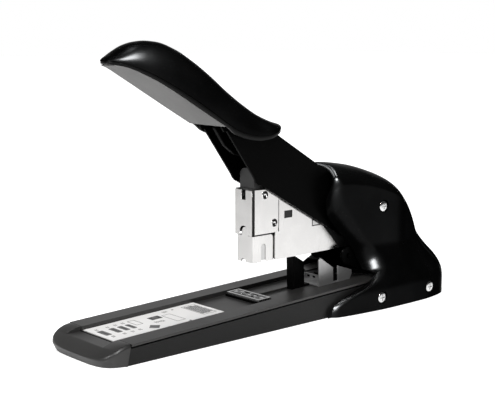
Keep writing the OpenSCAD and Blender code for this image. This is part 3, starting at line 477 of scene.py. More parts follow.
class Finish(Enum):
    """Every finish on the object.

    Most are named as the record's material slots. rivet_steel, anvil_steel and ear_steel are for single
    pieces of bright steel, and ink and pale_ink for the marks on the label.
    """

    gloss_black = Moulded(grey(0.0052, -0.02), 0.30, 0.04, 1.4, 0.0008, even=True)
    moulded_black = Moulded(grey(0.0010), 0.42, 0.08, 0.5, 0.012, 0.04)
    tray_black = Moulded(grey(0.008, 0.01), 0.48, 0.06, 0.45, 0.02, 0.22)
    base_satin = Painted(grey(0.015, 0.03), 0.40, 0.7, 0.01, 0.58)
    label = Printed(grey(0.68, 0.012))
    bright_steel = Plated(grey(0.66, 0.005), 0.24, Brush.ACROSS, 0.002, 0.15)
    nickel = Plated(grey(0.80, 0.012), 0.24, Brush.UP, 0.001, 0.09)
    fastener = Plated(grey(0.74), 0.16, Brush.NONE, 0.002, 0.12)
    dark_steel = Painted(grey(0.012), 0.38, 0.8, 0.01, 0.3)
    arm_black = Painted(grey(0.0006), 0.36, 0.8, 0.006, 0.03)
    # rivet_steel has painted shade in the upper left of each rivet dish
    rivet_steel = Plated(grey(0.80), 0.16, Brush.NONE, 0.002, 0.08, 1.0, dish_painted_shade)
    anvil_steel = Plated(grey(0.80), 0.26, Brush.ACROSS, 0.002, 0.1, 1.0, anvil_dark_middle)
    ear_steel = Plated(grey(0.52), 0.34, Brush.UP, 0.002, 0.12, 0.82)
    nylon = Moulded(grey(0.62, 0.03), 0.45)
    foot_rubber = Moulded(grey(0.012), 0.8, 0.05, 0.3, 0.04)
    spring_steel = Plated(grey(0.45), 0.25, Brush.NONE, 0.002, 0.2)
    carrier_grey = Moulded(grey(0.034), 0.36, 0.08, 0.5, 0.02, 0.35)
    rim_grey = Moulded(grey(0.003), 0.34, 0.06, 0.5, 0.01, 0.14)
    panel_grey = Moulded(grey(0.135, 0.012), 0.55, 0.05, 0.6, 0.02)
    ink = Printed(grey(0.028), 0.5)
    pale_ink = Printed(grey(0.10), 0.5)


@dataclass
class Paintshop:
    """Makes each finish once and hands it out.

    Args:
        made: The materials so far.
    """

    made: dict[Finish, bpy.types.Material] = field(default_factory=dict)

    def get(self, finish: Finish) -> bpy.types.Material:
        """The material of a finish.

        Args:
            finish: The finish to hand out.

        Returns:
            Its material, made when first asked for.
        """
        if finish not in self.made:
            material = bpy.data.materials.new(finish.name)
            material.use_nodes = True
            finish.value.paint(Graph(material.node_tree))
            self.made[finish] = material
        return self.made[finish]

    def coat(self, obj: bpy.types.Object, finish: Finish) -> None:
        """Gives an object one finish all over."""
        obj.data.materials.clear()
        obj.data.materials.append(self.get(finish))


SHOP = Paintshop()


# ----------------------------------------------------------------------------------------------
# Curves and shells
# ----------------------------------------------------------------------------------------------


def blend(a: float, b: float, t: float) -> float:
    """The value a share t of the way from a to b."""
    return a + (b - a) * t


def ease(t: float) -> float:
    """Smooth step from 0 to 1."""
    u = min(1.0, max(0.0, t))
    return u * u * (3 - 2 * u)


class Profile:
    """Smooth curve through points, with gentle slopes that never overshoot.

    Args:
        points: Knots as (place, value), in order of place.
    """

    def __init__(self, points: Sequence[Pair]) -> None:
        """Works out the slope at each knot.

        Args:
            points: Knots as (place, value), in order of place.
        """
        self.x = [p[0] for p in points]
        self.y = [p[1] for p in points]
        last = len(points) - 1
        chords = [(self.y[i + 1] - self.y[i]) / (self.x[i + 1] - self.x[i]) for i in range(last)]
        inner = [0 if a * b <= 0 else 2 * a * b / (a + b) for a, b in zip(chords, chords[1:])]
        self.slopes = [chords[0], *inner, chords[-1]]

    def __call__(self, x: float) -> float:
        """The value at a place.

        Args:
            x: A place; beyond the last knots the end values hold.

        Returns:
            The value there.
        """
        i = 0
        while i < len(self.x) - 2 and x > self.x[i + 1]:
            i += 1
        h = self.x[i + 1] - self.x[i]
        t = min(1.0, max(0.0, (x - self.x[i]) / h))
        start = self.y[i] * (1 + 2 * t) * (1 - t) ** 2 + self.slopes[i] * h * t * (1 - t) ** 2
        end = self.y[i + 1] * t * t * (3 - 2 * t) + self.slopes[i + 1] * h * t * t * (t - 1)
        return start + end


def mesh_object(name: str, points: Iterable[Sequence[float]],
                faces: Iterable[Sequence[int]]) -> bpy.types.Object:
    """A mesh object from points in millimetres, merged and with its faces turned outwards.

    Args:
        name: Name of the object and its mesh.
        points: Places in millimetres.
        faces: Indices of the points round each face.

    Returns:
        The new object.
    """
    mesh = bpy.data.meshes.new(name)
    mesh.from_pydata([tuple(c * MM for c in p) for p in points], [], list(faces))
    obj = bpy.data.objects.new(name, mesh)
    bpy.context.scene.collection.objects.link(obj)
    work = bmesh.new()
    work.from_mesh(mesh)
    bmesh.ops.remove_doubles(work, verts=work.verts, dist=1e-6)
    bmesh.ops.dissolve_degenerate(work, edges=work.edges, dist=1e-7)
    bmesh.ops.recalc_face_normals(work, faces=work.faces)
    work.to_mesh(mesh)
    work.free()
    return obj


def grid_shell(name: str, outer: np.ndarray, inner: np.ndarray) -> bpy.types.Object:
    """Closed shell between two grids of points of the same shape.

    Args:
        name: Name of the object.
        outer: Rows of points on the outside.
        inner: The same rows on the inside.

    Returns:
        The new object.
    """
    rows, columns, _ = outer.shape
    count = rows * columns
    faces: list[tuple[int, ...]] = []
    for i in range(rows - 1):
        for j in range(columns - 1):
            a, b = i * columns + j, (i + 1) * columns + j
            faces.append((a, a + 1, b + 1, b))
            faces.append((count + a, count + b, count + b + 1, count + a + 1))
    for i in range(rows - 1):
        for j, turn in ((0, 1), (columns - 1, -1)):
            a, b = i * columns + j, (i + 1) * columns + j
            faces.append((a, b, count + b, count + a)[::turn])
    for j in range(columns - 1):
        for i, turn in ((0, -1), (rows - 1, 1)):
            a = i * columns + j
            faces.append((a, a + 1, count + a + 1, count + a)[::turn])
    return mesh_object(name, np.vstack([outer.reshape(-1, 3), inner.reshape(-1, 3)]).tolist(), faces)


def shade(obj: bpy.types.Object, sharp_deg: float) -> bpy.types.Object:
    """Smooth shading that keeps edges sharper than an angle.

    Args:
        obj: The object.
        sharp_deg: Edges that turn by more degrees stay sharp.

    Returns:
        The same object.
    """
    obj.data.shade_smooth()
    obj.data.set_sharp_from_angle(angle=math.radians(sharp_deg))
    return obj


def apply_modifiers(obj: bpy.types.Object) -> None:
    """Turns an object's modifiers into its mesh.

    Args:
        obj: The object.
    """
    graph = bpy.context.evaluated_depsgraph_get()
    mesh = bpy.data.meshes.new_from_object(obj.evaluated_get(graph))
    obj.modifiers.clear()
    obj.data = mesh


def weigh(obj: bpy.types.Object, sharp_deg: float = 62) -> None:
    """Smooth shading in which the large faces stay flat and their rounded edges carry the bend.

    Args:
        obj: The object.
        sharp_deg: Edges that turn by more degrees stay sharp.
    """
    shade(obj, sharp_deg)
    mod = obj.modifiers.new("weigh", "WEIGHTED_NORMAL")
    mod.mode = "FACE_AREA"
    mod.weight = 100
    mod.keep_sharp = True
    apply_modifiers(obj)


def bevel(obj: bpy.types.Object, width: float, steps: int = 2, angle: float = 32) -> None:
    """Rounds an object's sharp edges by a width in millimetres.

    Args:
        obj: The object.
        width: Width of the rounding in millimetres.
        steps: Faces across it.
        angle: Edges that turn by fewer degrees are left.
    """
    mod = obj.modifiers.new("edge", "BEVEL")
    mod.width = width * MM
    mod.segments = steps
    mod.limit_method = "ANGLE"
    mod.angle_limit = math.radians(angle)
    mod.use_clamp_overlap = True
    apply_modifiers(obj)


def boolean(obj: bpy.types.Object, tool: bpy.types.Object, operation: str) -> None:
    """Cuts an object with a tool, or joins the tool to it, and removes the tool.

    Args:
        obj: The object that changes.
        tool: The object that is used up.
        operation: DIFFERENCE or UNION.
    """
    mod = obj.modifiers.new(operation.lower(), "BOOLEAN")
    mod.operation = operation
    mod.solver = "EXACT"
    mod.object = tool
    apply_modifiers(obj)
    bpy.data.objects.remove(tool)


def rod(name: str, a: Point, b: Point, r: float, sides: int = 48) -> bpy.types.Object:
    """Solid round bar between two points.

    Args:
        name: Name of the object.
        a: Middle of one end.
        b: Middle of the other.
        r: Radius.
        sides: Faces round it.

    Returns:
        The new object.
    """
    start, end = Vector(a), Vector(b)
    way = (end - start).normalized()
    u = way.orthogonal().normalized()
    v = way.cross(u)
    turns = np.linspace(0, 2 * math.pi, sides, False)
    ring = [u * math.cos(t) * r + v * math.sin(t) * r for t in turns]
    points = [start + p for p in ring] + [end + p for p in ring]
    faces = [(k, (k + 1) % sides, sides + (k + 1) % sides, sides + k) for k in range(sides)]
    return mesh_object(name, points, [*faces, tuple(range(sides)), tuple(range(sides, 2 * sides))])


def brick(name: str, x: Pair, y: Pair, z: Pair) -> bpy.types.Object:
    """Solid block between limits on each axis.

    Args:
        name: Name of the object.
        x: Its two limits along X.
        y: Along Y.
        z: Along Z.

    Returns:
        The new object.
    """
    corners = [(a, b, c) for a in x for b in y for c in z]
    faces = [(0, 1, 3, 2), (4, 6, 7, 5), (0, 4, 5, 1), (2, 3, 7, 6), (0, 2, 6, 4), (1, 5, 7, 3)]
    return mesh_object(name, corners, faces)


# ----------------------------------------------------------------------------------------------
# Pieces
# ----------------------------------------------------------------------------------------------


@dataclass
class Piece:
    """One finished piece.

    Args:
        obj: Its mesh object.
        body: The body that it rides on.
        finish: What it is made of.
        nodes: The CAD nodes that it stands for.
        slot: Its material slot, where that isn't the finish's name; not used.
    """

    obj: bpy.types.Object
    body: str
    finish: Finish
    nodes: tuple[str, ...] = ()
    slot: str = ""

    def settle(self) -> bpy.types.Object:
        """Paints the piece and ties it to the frame.

        Returns:
            The object of the piece.
        """
        SHOP.coat(self.obj, self.finish)
        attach(self.obj, self.body)
        if self.nodes:
            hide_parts(*self.nodes)
        log.info("%s: %d faces on %s", self.obj.name, len(self.obj.data.polygons), self.body)
        return self.obj


# CAD nodes whose finish isn't the one that their material slot names
SPECIAL = {"anvil_plate": "anvil_steel", "stop_carriage": "ear_steel", "release_lever": "bright_steel"}


@dataclass
class SubAssembly:
    """A group of pieces that ride on one body.

    Args:
        pieces: The pieces with rounded edges, by the node that they stand for.
        body: The body that they ride on.
        soft: Width in millimetres of the rounded edges, by node.
    """

    frame: dict
    pieces: dict[str, bpy.types.Object] = field(default_factory=dict)
    body: str = ""
    soft: dict[str, float] = field(default_factory=dict)

    def slot_of(self, node: str) -> str:
        """The record's material slot of a CAD node."""
        return next(s["material_slot"] for s in self.frame["record"]["subparts"] if s["node"] == node)

    def finish_of(self, node: str) -> Finish:
        """The finish of a CAD node."""
        return Finish[SPECIAL.get(node) or self.slot_of(node)]

    def soften(self, node: str, width: float) -> bpy.types.Object:
        """Stands in for a CAD node with the same solid whose edges are rounded as real ones are.

        Args:
            node: Name of the CAD node.
            width: Width of its rounded edges.

        Returns:
            The object that stands in for it.
        """
        mesh = self.frame["nodes"][node].data.copy()
        obj = bpy.data.objects.new(f"{node}_edged", mesh)
        bpy.context.scene.collection.objects.link(obj)
        work = bmesh.new()
        work.from_mesh(mesh)
        bmesh.ops.remove_doubles(work, verts=work.verts, dist=2e-6)
        flat = math.radians(0.5)
        bmesh.ops.dissolve_limit(work, angle_limit=flat, verts=work.verts, edges=work.edges)
        work.to_mesh(mesh)
        work.free()
        if "custom_normal" in mesh.attributes:
            mesh.attributes.remove(mesh.attributes["custom_normal"])
        bevel(obj, width)
        weigh(obj)
        return Piece(obj, self.body, self.finish_of(node), (node,), self.slot_of(node)).settle()

    def make(self) -> None:
        """Finishes every CAD node of the body; those listed in soft get rounded edges."""
        for node in self.frame["record"]["behaviour"]["bodies"][self.body]:
            SHOP.coat(self.frame["nodes"][node], self.finish_of(node))
            if node in self.soft:
                self.pieces[node] = self.soften(node, self.soft[node])


# ----------------------------------------------------------------------------------------------
# Repeated parts, grown in geometry trees
# ----------------------------------------------------------------------------------------------


class GeoTree(Graph):
    """A geometry tree with named inputs, in millimetres, that ends in one finished mesh.

    Args:
        name: Name of the tree.
        finish: What its result is made of.
        inputs: Name and first value of each input; a whole number makes a count.
    """

    def __init__(self, name: str, finish: Finish, **inputs: float) -> None:
        """Makes the tree and its named inputs.

        Args:
            name: Name of the tree.
            finish: What its result is made of.
            inputs: Name and first value of each input.
        """
        super().__init__(bpy.data.node_groups.new(name, "GeometryNodeTree"))
        self.finish = finish
        self.ids: dict[str, str] = {}
        face = self.tree.interface
        face.new_socket("Geometry", in_out="INPUT", socket_type="NodeSocketGeometry")
        face.new_socket("Geometry", in_out="OUTPUT", socket_type="NodeSocketGeometry")
        for key, value in inputs.items():
            kind = "NodeSocketInt" if isinstance(value, int) else "NodeSocketFloat"
            socket = face.new_socket(key, in_out="INPUT", socket_type=kind)
            socket.default_value = value
            self.ids[key] = socket.identifier
        entry = self.tree.nodes.new("NodeGroupInput")
        self.source = Sock(self, entry.outputs["Geometry"])
        self.given = {key: Sock(self, entry.outputs[key]) for key in inputs}

    def length(self, key: str) -> Sock:
        """An input turned from millimetres into metres."""
        return self.given[key] * MM

    def vector(self, x: "Sock | float", y: "Sock | float", z: "Sock | float") -> Sock:
        """A vector from three numbers."""
        return self.node("ShaderNodeCombineXYZ", inputs={0: x, 1: y, 2: z})[0]

    def attribute(self, name: str, kind: str = "FLOAT") -> Sock:
        """A number or vector that each point carries."""
        return self.node("GeometryNodeInputNamedAttribute", {"data_type": kind}, {"Name": name})[0]

    def moved(self, shape: Sock, lift: "Sock | float" = 0.0, scale: "Sock | Point" = (1, 1, 1)) -> Sock:
        """A shape scaled, then lifted along Z."""
        fields = {"Geometry": shape, "Translation": self.vector(0.0, 0.0, lift), "Scale": scale}
        return self.node("GeometryNodeTransform", inputs=fields)[0]

    def turned(self, shape: Sock, angle: float) -> Sock:
        """A shape turned about Z by an angle in degrees."""
        fields = {"Geometry": shape, "Rotation": (0.0, 0.0, math.radians(angle))}
        return self.node("GeometryNodeTransform", inputs=fields)[0]

    def cylinder(self, radius: Sock, depth: "Sock | float", sides: int = 48) -> Sock:
        """Upright cylinder about the origin."""
        fields = {"Vertices": sides, "Radius": radius, "Depth": depth}
        return self.node("GeometryNodeMeshCylinder", inputs=fields)[0]

    def cube(self, x: "Sock | float", y: "Sock | float", z: "Sock | float") -> Sock:
        """Block about the origin."""
        return self.node("GeometryNodeMeshCube", inputs={"Size": self.vector(x, y, z)})[0]

    def ball(self, radius: Sock, segments: int = 48, rings: int = 24) -> Sock:
        """Ball about the origin."""
        fields = {"Segments": segments, "Rings": rings, "Radius": radius}
        return self.node("GeometryNodeMeshUVSphere", inputs=fields)[0]

    def combine(self, operation: str, first: Sock, *others: Sock) -> Sock:
        """Joins solids, or cuts the others out of the first.

        Args:
            operation: UNION or DIFFERENCE.
            first: The solid that the others join or cut.
            others: The other solids.

        Returns:
            The combined solid.
        """
        made = self.tree.nodes.new("GeometryNodeMeshBoolean")
        made.operation = operation
        made.solver = "EXACT"
        many = made.inputs[1]
        if operation == "DIFFERENCE":
            self.tree.links.new(first.out, made.inputs[0])
        else:
            self.tree.links.new(first.out, many)
        for other in others:
            self.tree.links.new(other.out, many)
        return Sock(self, made.outputs[0])

    def on_points(self, shape: Sock, scale: "Sock | Point" = (1, 1, 1)) -> Sock:
        """The shape on every point, its Z turned along the point's way.

        Args:
            shape: The shape to repeat.
            scale: Its scale on each point.

        Returns:
            The instances.
        """
        aligned = self.node("FunctionNodeAlignRotationToVector", {"axis": "Z"},
                            {"Vector": self.attribute("way", "FLOAT_VECTOR")})[0]
        fields = {"Points": self.source, "Instance": shape, "Rotation": aligned, "Scale": scale}
        return self.node("GeometryNodeInstanceOnPoints", inputs=fields)[0]

    def end(self, *shapes: Sock) -> "GeoTree":
        """Realises the result and gives it its material.

        Args:
            shapes: What the tree makes.

        Returns:
            The tree itself.
        """
        join = self.tree.nodes.new("GeometryNodeJoinGeometry")
        for shape in shapes:
            self.tree.links.new(shape.out, join.inputs[0])
        joined = Sock(self, join.outputs[0])
        real = self.node("GeometryNodeRealizeInstances", inputs={"Geometry": joined})[0]
        fields = {"Geometry": real, "Material": SHOP.get(self.finish)}
        done = self.node("GeometryNodeSetMaterial", inputs=fields)[0]
        leave = self.tree.nodes.new("NodeGroupOutput")
        self.tree.links.new(done.out, leave.inputs[0])
        return self

    def grow(self, name: str, points: Sequence[Point], ways: Sequence[Point] = (), path: bool = False,
             lengths: Sequence[float] = (), **values: float) -> bpy.types.Object:
        """Runs the tree on points and returns a plain mesh object.

        Args:
            name: Name of the object.
            points: Places in millimetres.
            ways: Direction of each point's Z axis.
            path: Whether the points form one path of edges.
            lengths: A length for each point, in millimetres.
            values: Inputs that differ from the tree's first values.

        Returns:
            The object.
        """
        mesh = bpy.data.meshes.new(name)
        edges = [(i, i + 1) for i in range(len(points) - 1)] if path else []
        mesh.from_pydata([tuple(c * MM for c in p) for p in points], edges, [])
        if ways:
            mesh.attributes.new("way", "FLOAT_VECTOR", "POINT").data.foreach_set("vector", np.ravel(ways))
        if lengths:
            data = mesh.attributes.new("length", "FLOAT", "POINT").data
            data.foreach_set("value", np.array(lengths) * MM)
        obj = bpy.data.objects.new(name, mesh)
        bpy.context.scene.collection.objects.link(obj)
        mod = obj.modifiers.new(self.tree.name, "NODES")
        mod.node_group = self.tree
        for key, value in values.items():
            mod[self.ids[key]] = value
        apply_modifiers(obj)
        for extra in ("way", "length"):
            if extra in obj.data.attributes:
                obj.data.attributes.remove(obj.data.attributes[extra])
        return obj


def screw_tree(name: str, finish: Finish) -> GeoTree:
    """Pan-head screws with a cross recess; each point is where the head seats.

    Args:
        name: Name of the tree.
        finish: What the pieces are made of.

    Returns:
        The tree.
    """
    g = GeoTree(name, finish, head_r=3.9, head_h=1.7, shank_r=1.65, recess_w=0.9, recess_share=0.58)
    head_r, head_h = g.length("head_r"), g.length("head_h")
    rim = g.moved(g.cylinder(head_r, head_h * 0.5), head_h * 0.25)
    dome = g.moved(g.ball(head_r), head_h * 0.5, g.vector(1.0, 1.0, head_h * 0.5 / head_r))
    arm = g.moved(g.cube(head_r * 2 * g.given["recess_share"], g.length("recess_w"), head_h), head_h)
    head = g.combine("DIFFERENCE", g.combine("UNION", rim, dome), g.combine("UNION", arm, g.turned(arm, 90)))
    shank = g.moved(g.cylinder(g.length("shank_r"), 1.0, 24), -0.5)
    long_ways = g.vector(1.0, 1.0, g.attribute("length"))
    return g.end(g.on_points(head), g.on_points(shank, long_ways))


def rivet_tree(name: str, finish: Finish) -> GeoTree:
    """Low rivets with a dished middle; each point is where the shank starts.

    Args:
        name: Name of the tree.
        finish: What the pieces are made of.

    Returns:
        The tree.
    """
    g = GeoTree(name, finish, head_r=2.8, dome=0.45, shank_r=1.6, shank_l=0.6, dish_r=2.5, dish_d=0.95)
    head_r, dome, shank_l = g.length("head_r"), g.length("dome"), g.length("shank_l")
    bulge = g.moved(g.ball(head_r, 64, 32), 0.0, g.vector(1.0, 1.0, dome / head_r))
    below = g.moved(g.cube(head_r * 3, head_r * 3, dome * 2), dome * -1)
    cap = g.moved(g.combine("DIFFERENCE", bulge, below), shank_l)
    shank = g.moved(g.cylinder(g.length("shank_r"), shank_l), shank_l * 0.5)
    dish_lift = shank_l + dome + g.length("dish_r") - g.length("dish_d")
    dish = g.moved(g.ball(g.length("dish_r"), 64, 48), dish_lift)
    return g.end(g.on_points(g.combine("DIFFERENCE", g.combine("UNION", cap, shank), dish)))


def wire_tree(name: str, finish: Finish) -> GeoTree:
    """Round wire along a path.

    Args:
        name: Name of the tree.
        finish: What the pieces are made of.

    Returns:
        The tree.
    """
    g = GeoTree(name, finish, wire_r=0.8, sides=14)
    path = g.node("GeometryNodeMeshToCurve", inputs={"Mesh": g.source})[0]
    ring = g.node("GeometryNodeCurvePrimitiveCircle",
                  inputs={"Resolution": g.given["sides"], "Radius": g.length("wire_r")})[0]
    fields = {"Curve": path, "Profile Curve": ring, "Fill Caps": True}
    return g.end(g.node("GeometryNodeCurveToMesh", inputs=fields)[0])


def bar_tree(name: str, finish: Finish) -> GeoTree:
    """Rows of thin bars of uneven length, like lines of small print; each point starts a row's bar.

    Args:
        name: Name of the tree.
        finish: What the pieces are made of.

    Returns:
        The tree.
    """
    g = GeoTree(name, finish, bar_l=4.0, bar_w=0.45, bar_t=0.03, spread=0.35, seed=7)
    fields = {"Min": 1 - g.given["spread"], "Max": 1.0, "Seed": g.given["seed"]}
    share = g.node("FunctionNodeRandomValue", {"data_type": "FLOAT"}, fields)[0]
    bar = g.cube(g.length("bar_w"), g.length("bar_l"), g.length("bar_t"))
    return g.end(g.on_points(bar, g.vector(1.0, share, 1.0)))


# ----------------------------------------------------------------------------------------------
# Shared places
# ----------------------------------------------------------------------------------------------

NOSE_X = -158.5
REAR_X = 158.5
PARTING_X = -139.0
HALF_W = 34.0
TOP_H = 18.3
TILT = math.radians(2.06)
BED_HALF = 20.2
BED_D = 2.9
FLOOR_Z = 0.3
GRIP_TOP = 190.4
PIVOT = (112.0, 42.0)
BRACKET_OUT = 16.7


def top_z(x: float) -> float:
    """Height of the rails at x."""
    return TOP_H + x * math.tan(TILT)


def on_top(x: float, y: float, z: float) -> Point:
    """A point given in the sloping frame of the base top."""
    return (x * math.cos(TILT) - z * math.sin(TILT), y, TOP_H + x * math.sin(TILT) + z * math.cos(TILT))


TOP_NORMAL = (-math.sin(TILT), 0.0, math.cos(TILT))


def prism(name: str, outline: Sequence[Pair], low: float, high: float) -> bpy.types.Object:
    """Flat shape on the base top: its outline in X and Y, between two heights over the rails.

    Args:
        name: Name of the object.
        outline: Points in X and Y.
        low: Its lower height.
        high: Its upper height.

    Returns:
        The new object.
    """
    count = len(outline)
    points = [on_top(x, y, low) for x, y in outline] + [on_top(x, y, high) for x, y in outline]
    sides = [(k, (k + 1) % count, count + (k + 1) % count, count + k) for k in range(count)]
    return mesh_object(name, points, [*sides, tuple(range(count)), tuple(range(count, 2 * count))])


def rounded(x: float, y: float, length: float, width: float, r: float) -> list[Pair]:
    """Outline of a rectangle with round corners about a point.

    Args:
        x: Middle along X.
        y: Middle along Y.
        length: Size along X.
        width: Size along Y.
        r: Radius of the corners.

    Returns:
        The outline.
    """
    corners = ((1, 1, 0), (-1, 1, 90), (-1, -1, 180), (1, -1, 270))
    points: list[Pair] = []
    for sx, sy, start in corners:
        for k in range(5):
            a = math.radians(start + 22.5 * k)
            px = x + sx * (length / 2 - r) + r * math.cos(a)
            points.append((px, y + sy * (width / 2 - r) + r * math.sin(a)))
    return points


def join(name: str, parts: Sequence[bpy.types.Object]) -> bpy.types.Object:
    """One object from several.

    Args:
        name: Name of the object.
        parts: The objects, which are used up.

    Returns:
        The new object.
    """
    work = bmesh.new()
    for part in parts:
        work.from_mesh(part.data)
        bpy.data.objects.remove(part)
    mesh = bpy.data.meshes.new(name)
    work.to_mesh(mesh)
    work.free()
    obj = bpy.data.objects.new(name, mesh)
    bpy.context.scene.collection.objects.link(obj)
    return obj


# ----------------------------------------------------------------------------------------------
# Base
# ----------------------------------------------------------------------------------------------


@dataclass
class Base(SubAssembly):
    """The weighted base: tray, steel top, nose, label, anvil and the rear frame.

    Args:
        nose_edge: Height of the crease at the nose's tip.
        nose_foot: Share of its length that the nose keeps at the table.
        nose_fall: How late the nose's top falls: 1 is a straight slope.
        nose_plan: The two powers of its plan outline, which make it squarer than an ellipse.
        nose_l: Length of the nose.
        lean: How far its joint leans back at the table.
        ink_z: Lower and upper side of the print, over the rails.
        steps_x: Places of the four staple steps on the label.
        coil_x: Place of the lift spring.
        coil_r: Radius of its coil.
        coil_z: Heights of its two ends.
    """

    body: str = "base"
    soft: dict[str, float] = field(default_factory=lambda: {
        "base_tray": 0.5, "base_plate": 0.45, "anvil_block": 0.25, "anvil_plate": 0.18,
        "frame_bracket": 0.3, "rubber_feet": 0.4, "pivot_pin": 0.4, "spring_seat": 0.3})
    nose_edge: float = 4.6
    nose_foot: float = 0.92
    nose_fall: float = 1.9
    nose_plan: Pair = (2 / 0.52, 0.26)
    nose_l: float = PARTING_X - NOSE_X
    lean: float = 3.0
    ink_z: Pair = (-2.52, -2.47)
    steps_x: tuple[float, ...] = (-132.8, -124.4, -118.2, -112.6)
    coil_x: float = 92.0
    coil_r: float = 5.0
    coil_z: Pair = (top_z(92) - BED_D + 1.9 + 0.8, 41.2 + 0.2 - 0.8)

    def make(self) -> None:
        """Finishes the whole base."""
        super().make()
        self.nose()
        self.label_marks()
        self.spring()

    def nose_section(self, u: float, round_r: float = 2.2) -> list[Point]:
        """Closed section of the nose, u from 0 at the joint to 1 at the tip.

        Args:
            u: Share of the way to the tip.
            round_r: Radius of the upper edge.

        Returns:
            Points round the section.
        """
        crown = top_z(PARTING_X)
        wide = HALF_W * max(0.0, 1 - u ** self.nose_plan[0]) ** self.nose_plan[1]
        top = crown - (crown - self.nose_edge) * u ** self.nose_fall
        dip = min(top, crown - BED_D)
        r = min(round_r, wide * 0.9, (top - FLOOR_Z) * 0.45)
        bed = min(BED_HALF, wide * 0.6)
        right: list[Pair] = [(0.0, dip), (bed, dip), (bed + 0.01, top)]
        for k in range(9):
            a = math.radians(90 - 11.25 * k)
            right.append((wide - r + r * math.cos(a), top - r + r * math.sin(a)))
        right.append((wide, FLOOR_Z))

        def place(y: float, z: float) -> Point:
            """A point of the section, leaned at the joint and drawn in at the foot.

            Args:
                y: Distance from the middle.
                z: Height.

            Returns:
                The point.
            """
            k = blend(self.nose_foot, 1.0, min(1.0, (z - FLOOR_Z) / (self.nose_edge - FLOOR_Z)))
            joint = self.lean * (1 - z / crown) * (1 - u) ** 4 + 0.3 * (1 - u) ** 8
            flush = blend(k, 1.0, (1 - u) ** 2)
            return (PARTING_X - joint - self.nose_l * u * flush, y * flush, z)

        near = [place(-y, z) for y, z in reversed(right)]
        return near + [place(y, z) for y, z in right[1:]]

    def nose(self) -> None:
        """The nose cap: squared in plan, falling to a low crease, with the bed running out into it."""
        shares = [math.sin(math.pi / 2 * i / 44) for i in range(45)]
        rows = [self.nose_section(u) for u in shares]
        count = len(rows[0])
        points = [p for row in rows for p in row]
        faces: list[tuple[int, ...]] = []
        for i in range(len(rows) - 1):
            for j in range(count):
                a, b, k = i * count + j, (i + 1) * count + j, (j + 1) % count
                faces.append((a, i * count + k, (i + 1) * count + k, b))
        faces.append(tuple(range(count)))
        obj = mesh_object("nose_skin", points, faces)
        hollow = brick("hollow", (NOSE_X + 6, PARTING_X - 5), (-25, 25), (-1, self.nose_edge))
        boolean(obj, hollow, "DIFFERENCE")
        bevel(obj, 0.35, 2, 55)
        shade(obj, 30)
        Piece(obj, self.body, Finish.base_satin, ("nose_cap",)).settle()

    def label_marks(self) -> None:
        """The guide's pictograms, flat on the label and without any lettering."""
        low, high = self.ink_z
        dark: list[bpy.types.Object] = []
        pale: list[bpy.types.Object] = []

        def frame_of(name: str, x: float, y: float, length: float, width: float, line: float) -> None:
            """Four bars round a rectangle.

            Args:
                name: Name of the bars.
                x: Middle along X.
                y: Middle along Y.
                length: Size along X.
                width: Size along Y.
                line: Width of a bar.
            """
            for dx, dy, sx, sy in ((0, width / 2, length, line), (0, -width / 2, length, line),
                                   (length / 2, 0, line, width), (-length / 2, 0, line, width)):
                dark.append(prism(name, rounded(x + dx, y + dy, sx, sy, line * 0.3), low, high))

        # Four steps of a staple's length, each block a little smaller than the last
        for k, x in enumerate(self.steps_x):
            pale.append(prism("step", rounded(x, 4.2, 4.4 - 0.35 * k, 11.6 - 0.4 * k, 0.9), low, high))
            dark.append(prism("tick", rounded(x, 4.2, 0.7, 8.6 - 0.4 * k, 0.3), high - 0.01, high + 0.03))
        frame_of("guide", -106.0, 9.0, 5.0, 10.4, 0.45)
        frame_of("guide", -81.6, 0.6, 6.4, 17.0, 0.4)
        dark.append(prism("box", rounded(-90.8, 8.4, 8.6, 6.4, 0.5), low, high))
        in_box = [(-93.4, 8.4), (-90.8, 5.8), (-88.2, 8.4), (-90.8, 11.0)]
        pale.append(prism("gem", in_box, high - 0.01, high + 0.03))
        by_steps = [(-106.8, -7.2), (-102.4, -12.0), (-98.2, -7.2), (-102.4, -2.4)]
        pale.append(prism("gem", by_steps, low, high))
        dark.append(prism("pip", rounded(-71.3, 15.4, 1.6, 1.6, 0.4), low, high))
        dark.append(prism("pip", rounded(-78.0, -12.6, 1.6, 1.6, 0.4), low, high))
        frame_of("table", -58.4, 3.6, 10.6, 24.0, 0.35)
        for name, parts, finish in (("label_ink", dark, Finish.ink), ("label_tone", pale, Finish.pale_ink)):
            Piece(join(name, parts), self.body, finish, slot="label").settle()
        self.label_lines(high)

    def label_lines(self, level: float) -> None:
        """Rows of thin uneven bars beside the pictograms.

        Args:
            level: Height of the bars over the rails.
        """
        tree = bar_tree("small_print", Finish.ink)
        groups = {
            "caption_far": [(x + d, y) for x, y in zip(self.steps_x, (13.0, 13.2, 13.4, 13.4))
                            for d in (-0.6, 0.6)],
            "caption_near": [(x + d, -5.6) for x in self.steps_x for d in (-0.6, 0.6)],
            "note": [(-96.5 + 1.2 * k, 0.0 - 0.2 * k) for k in range(6)],
            "arrow": [(-79.4 + 1.3 * k, 14.6) for k in range(3)],
        }
        for name, places in groups.items():
            points = [on_top(x, y, level) for x, y in places]
            obj = tree.grow(name, points, [TOP_NORMAL] * len(points), bar_l=3.6, bar_w=0.5)
            Piece(obj, self.body, Finish.ink, slot="label").settle()
        rows = [on_top(-62.4 + 1.35 * k, 3.6, level) for k in range(7)]
        obj = tree.grow("table_rows", rows, [TOP_NORMAL] * 7, bar_l=21.0, bar_w=0.85, spread=0.15, seed=3)
        Piece(obj, self.body, Finish.ink, slot="label").settle()

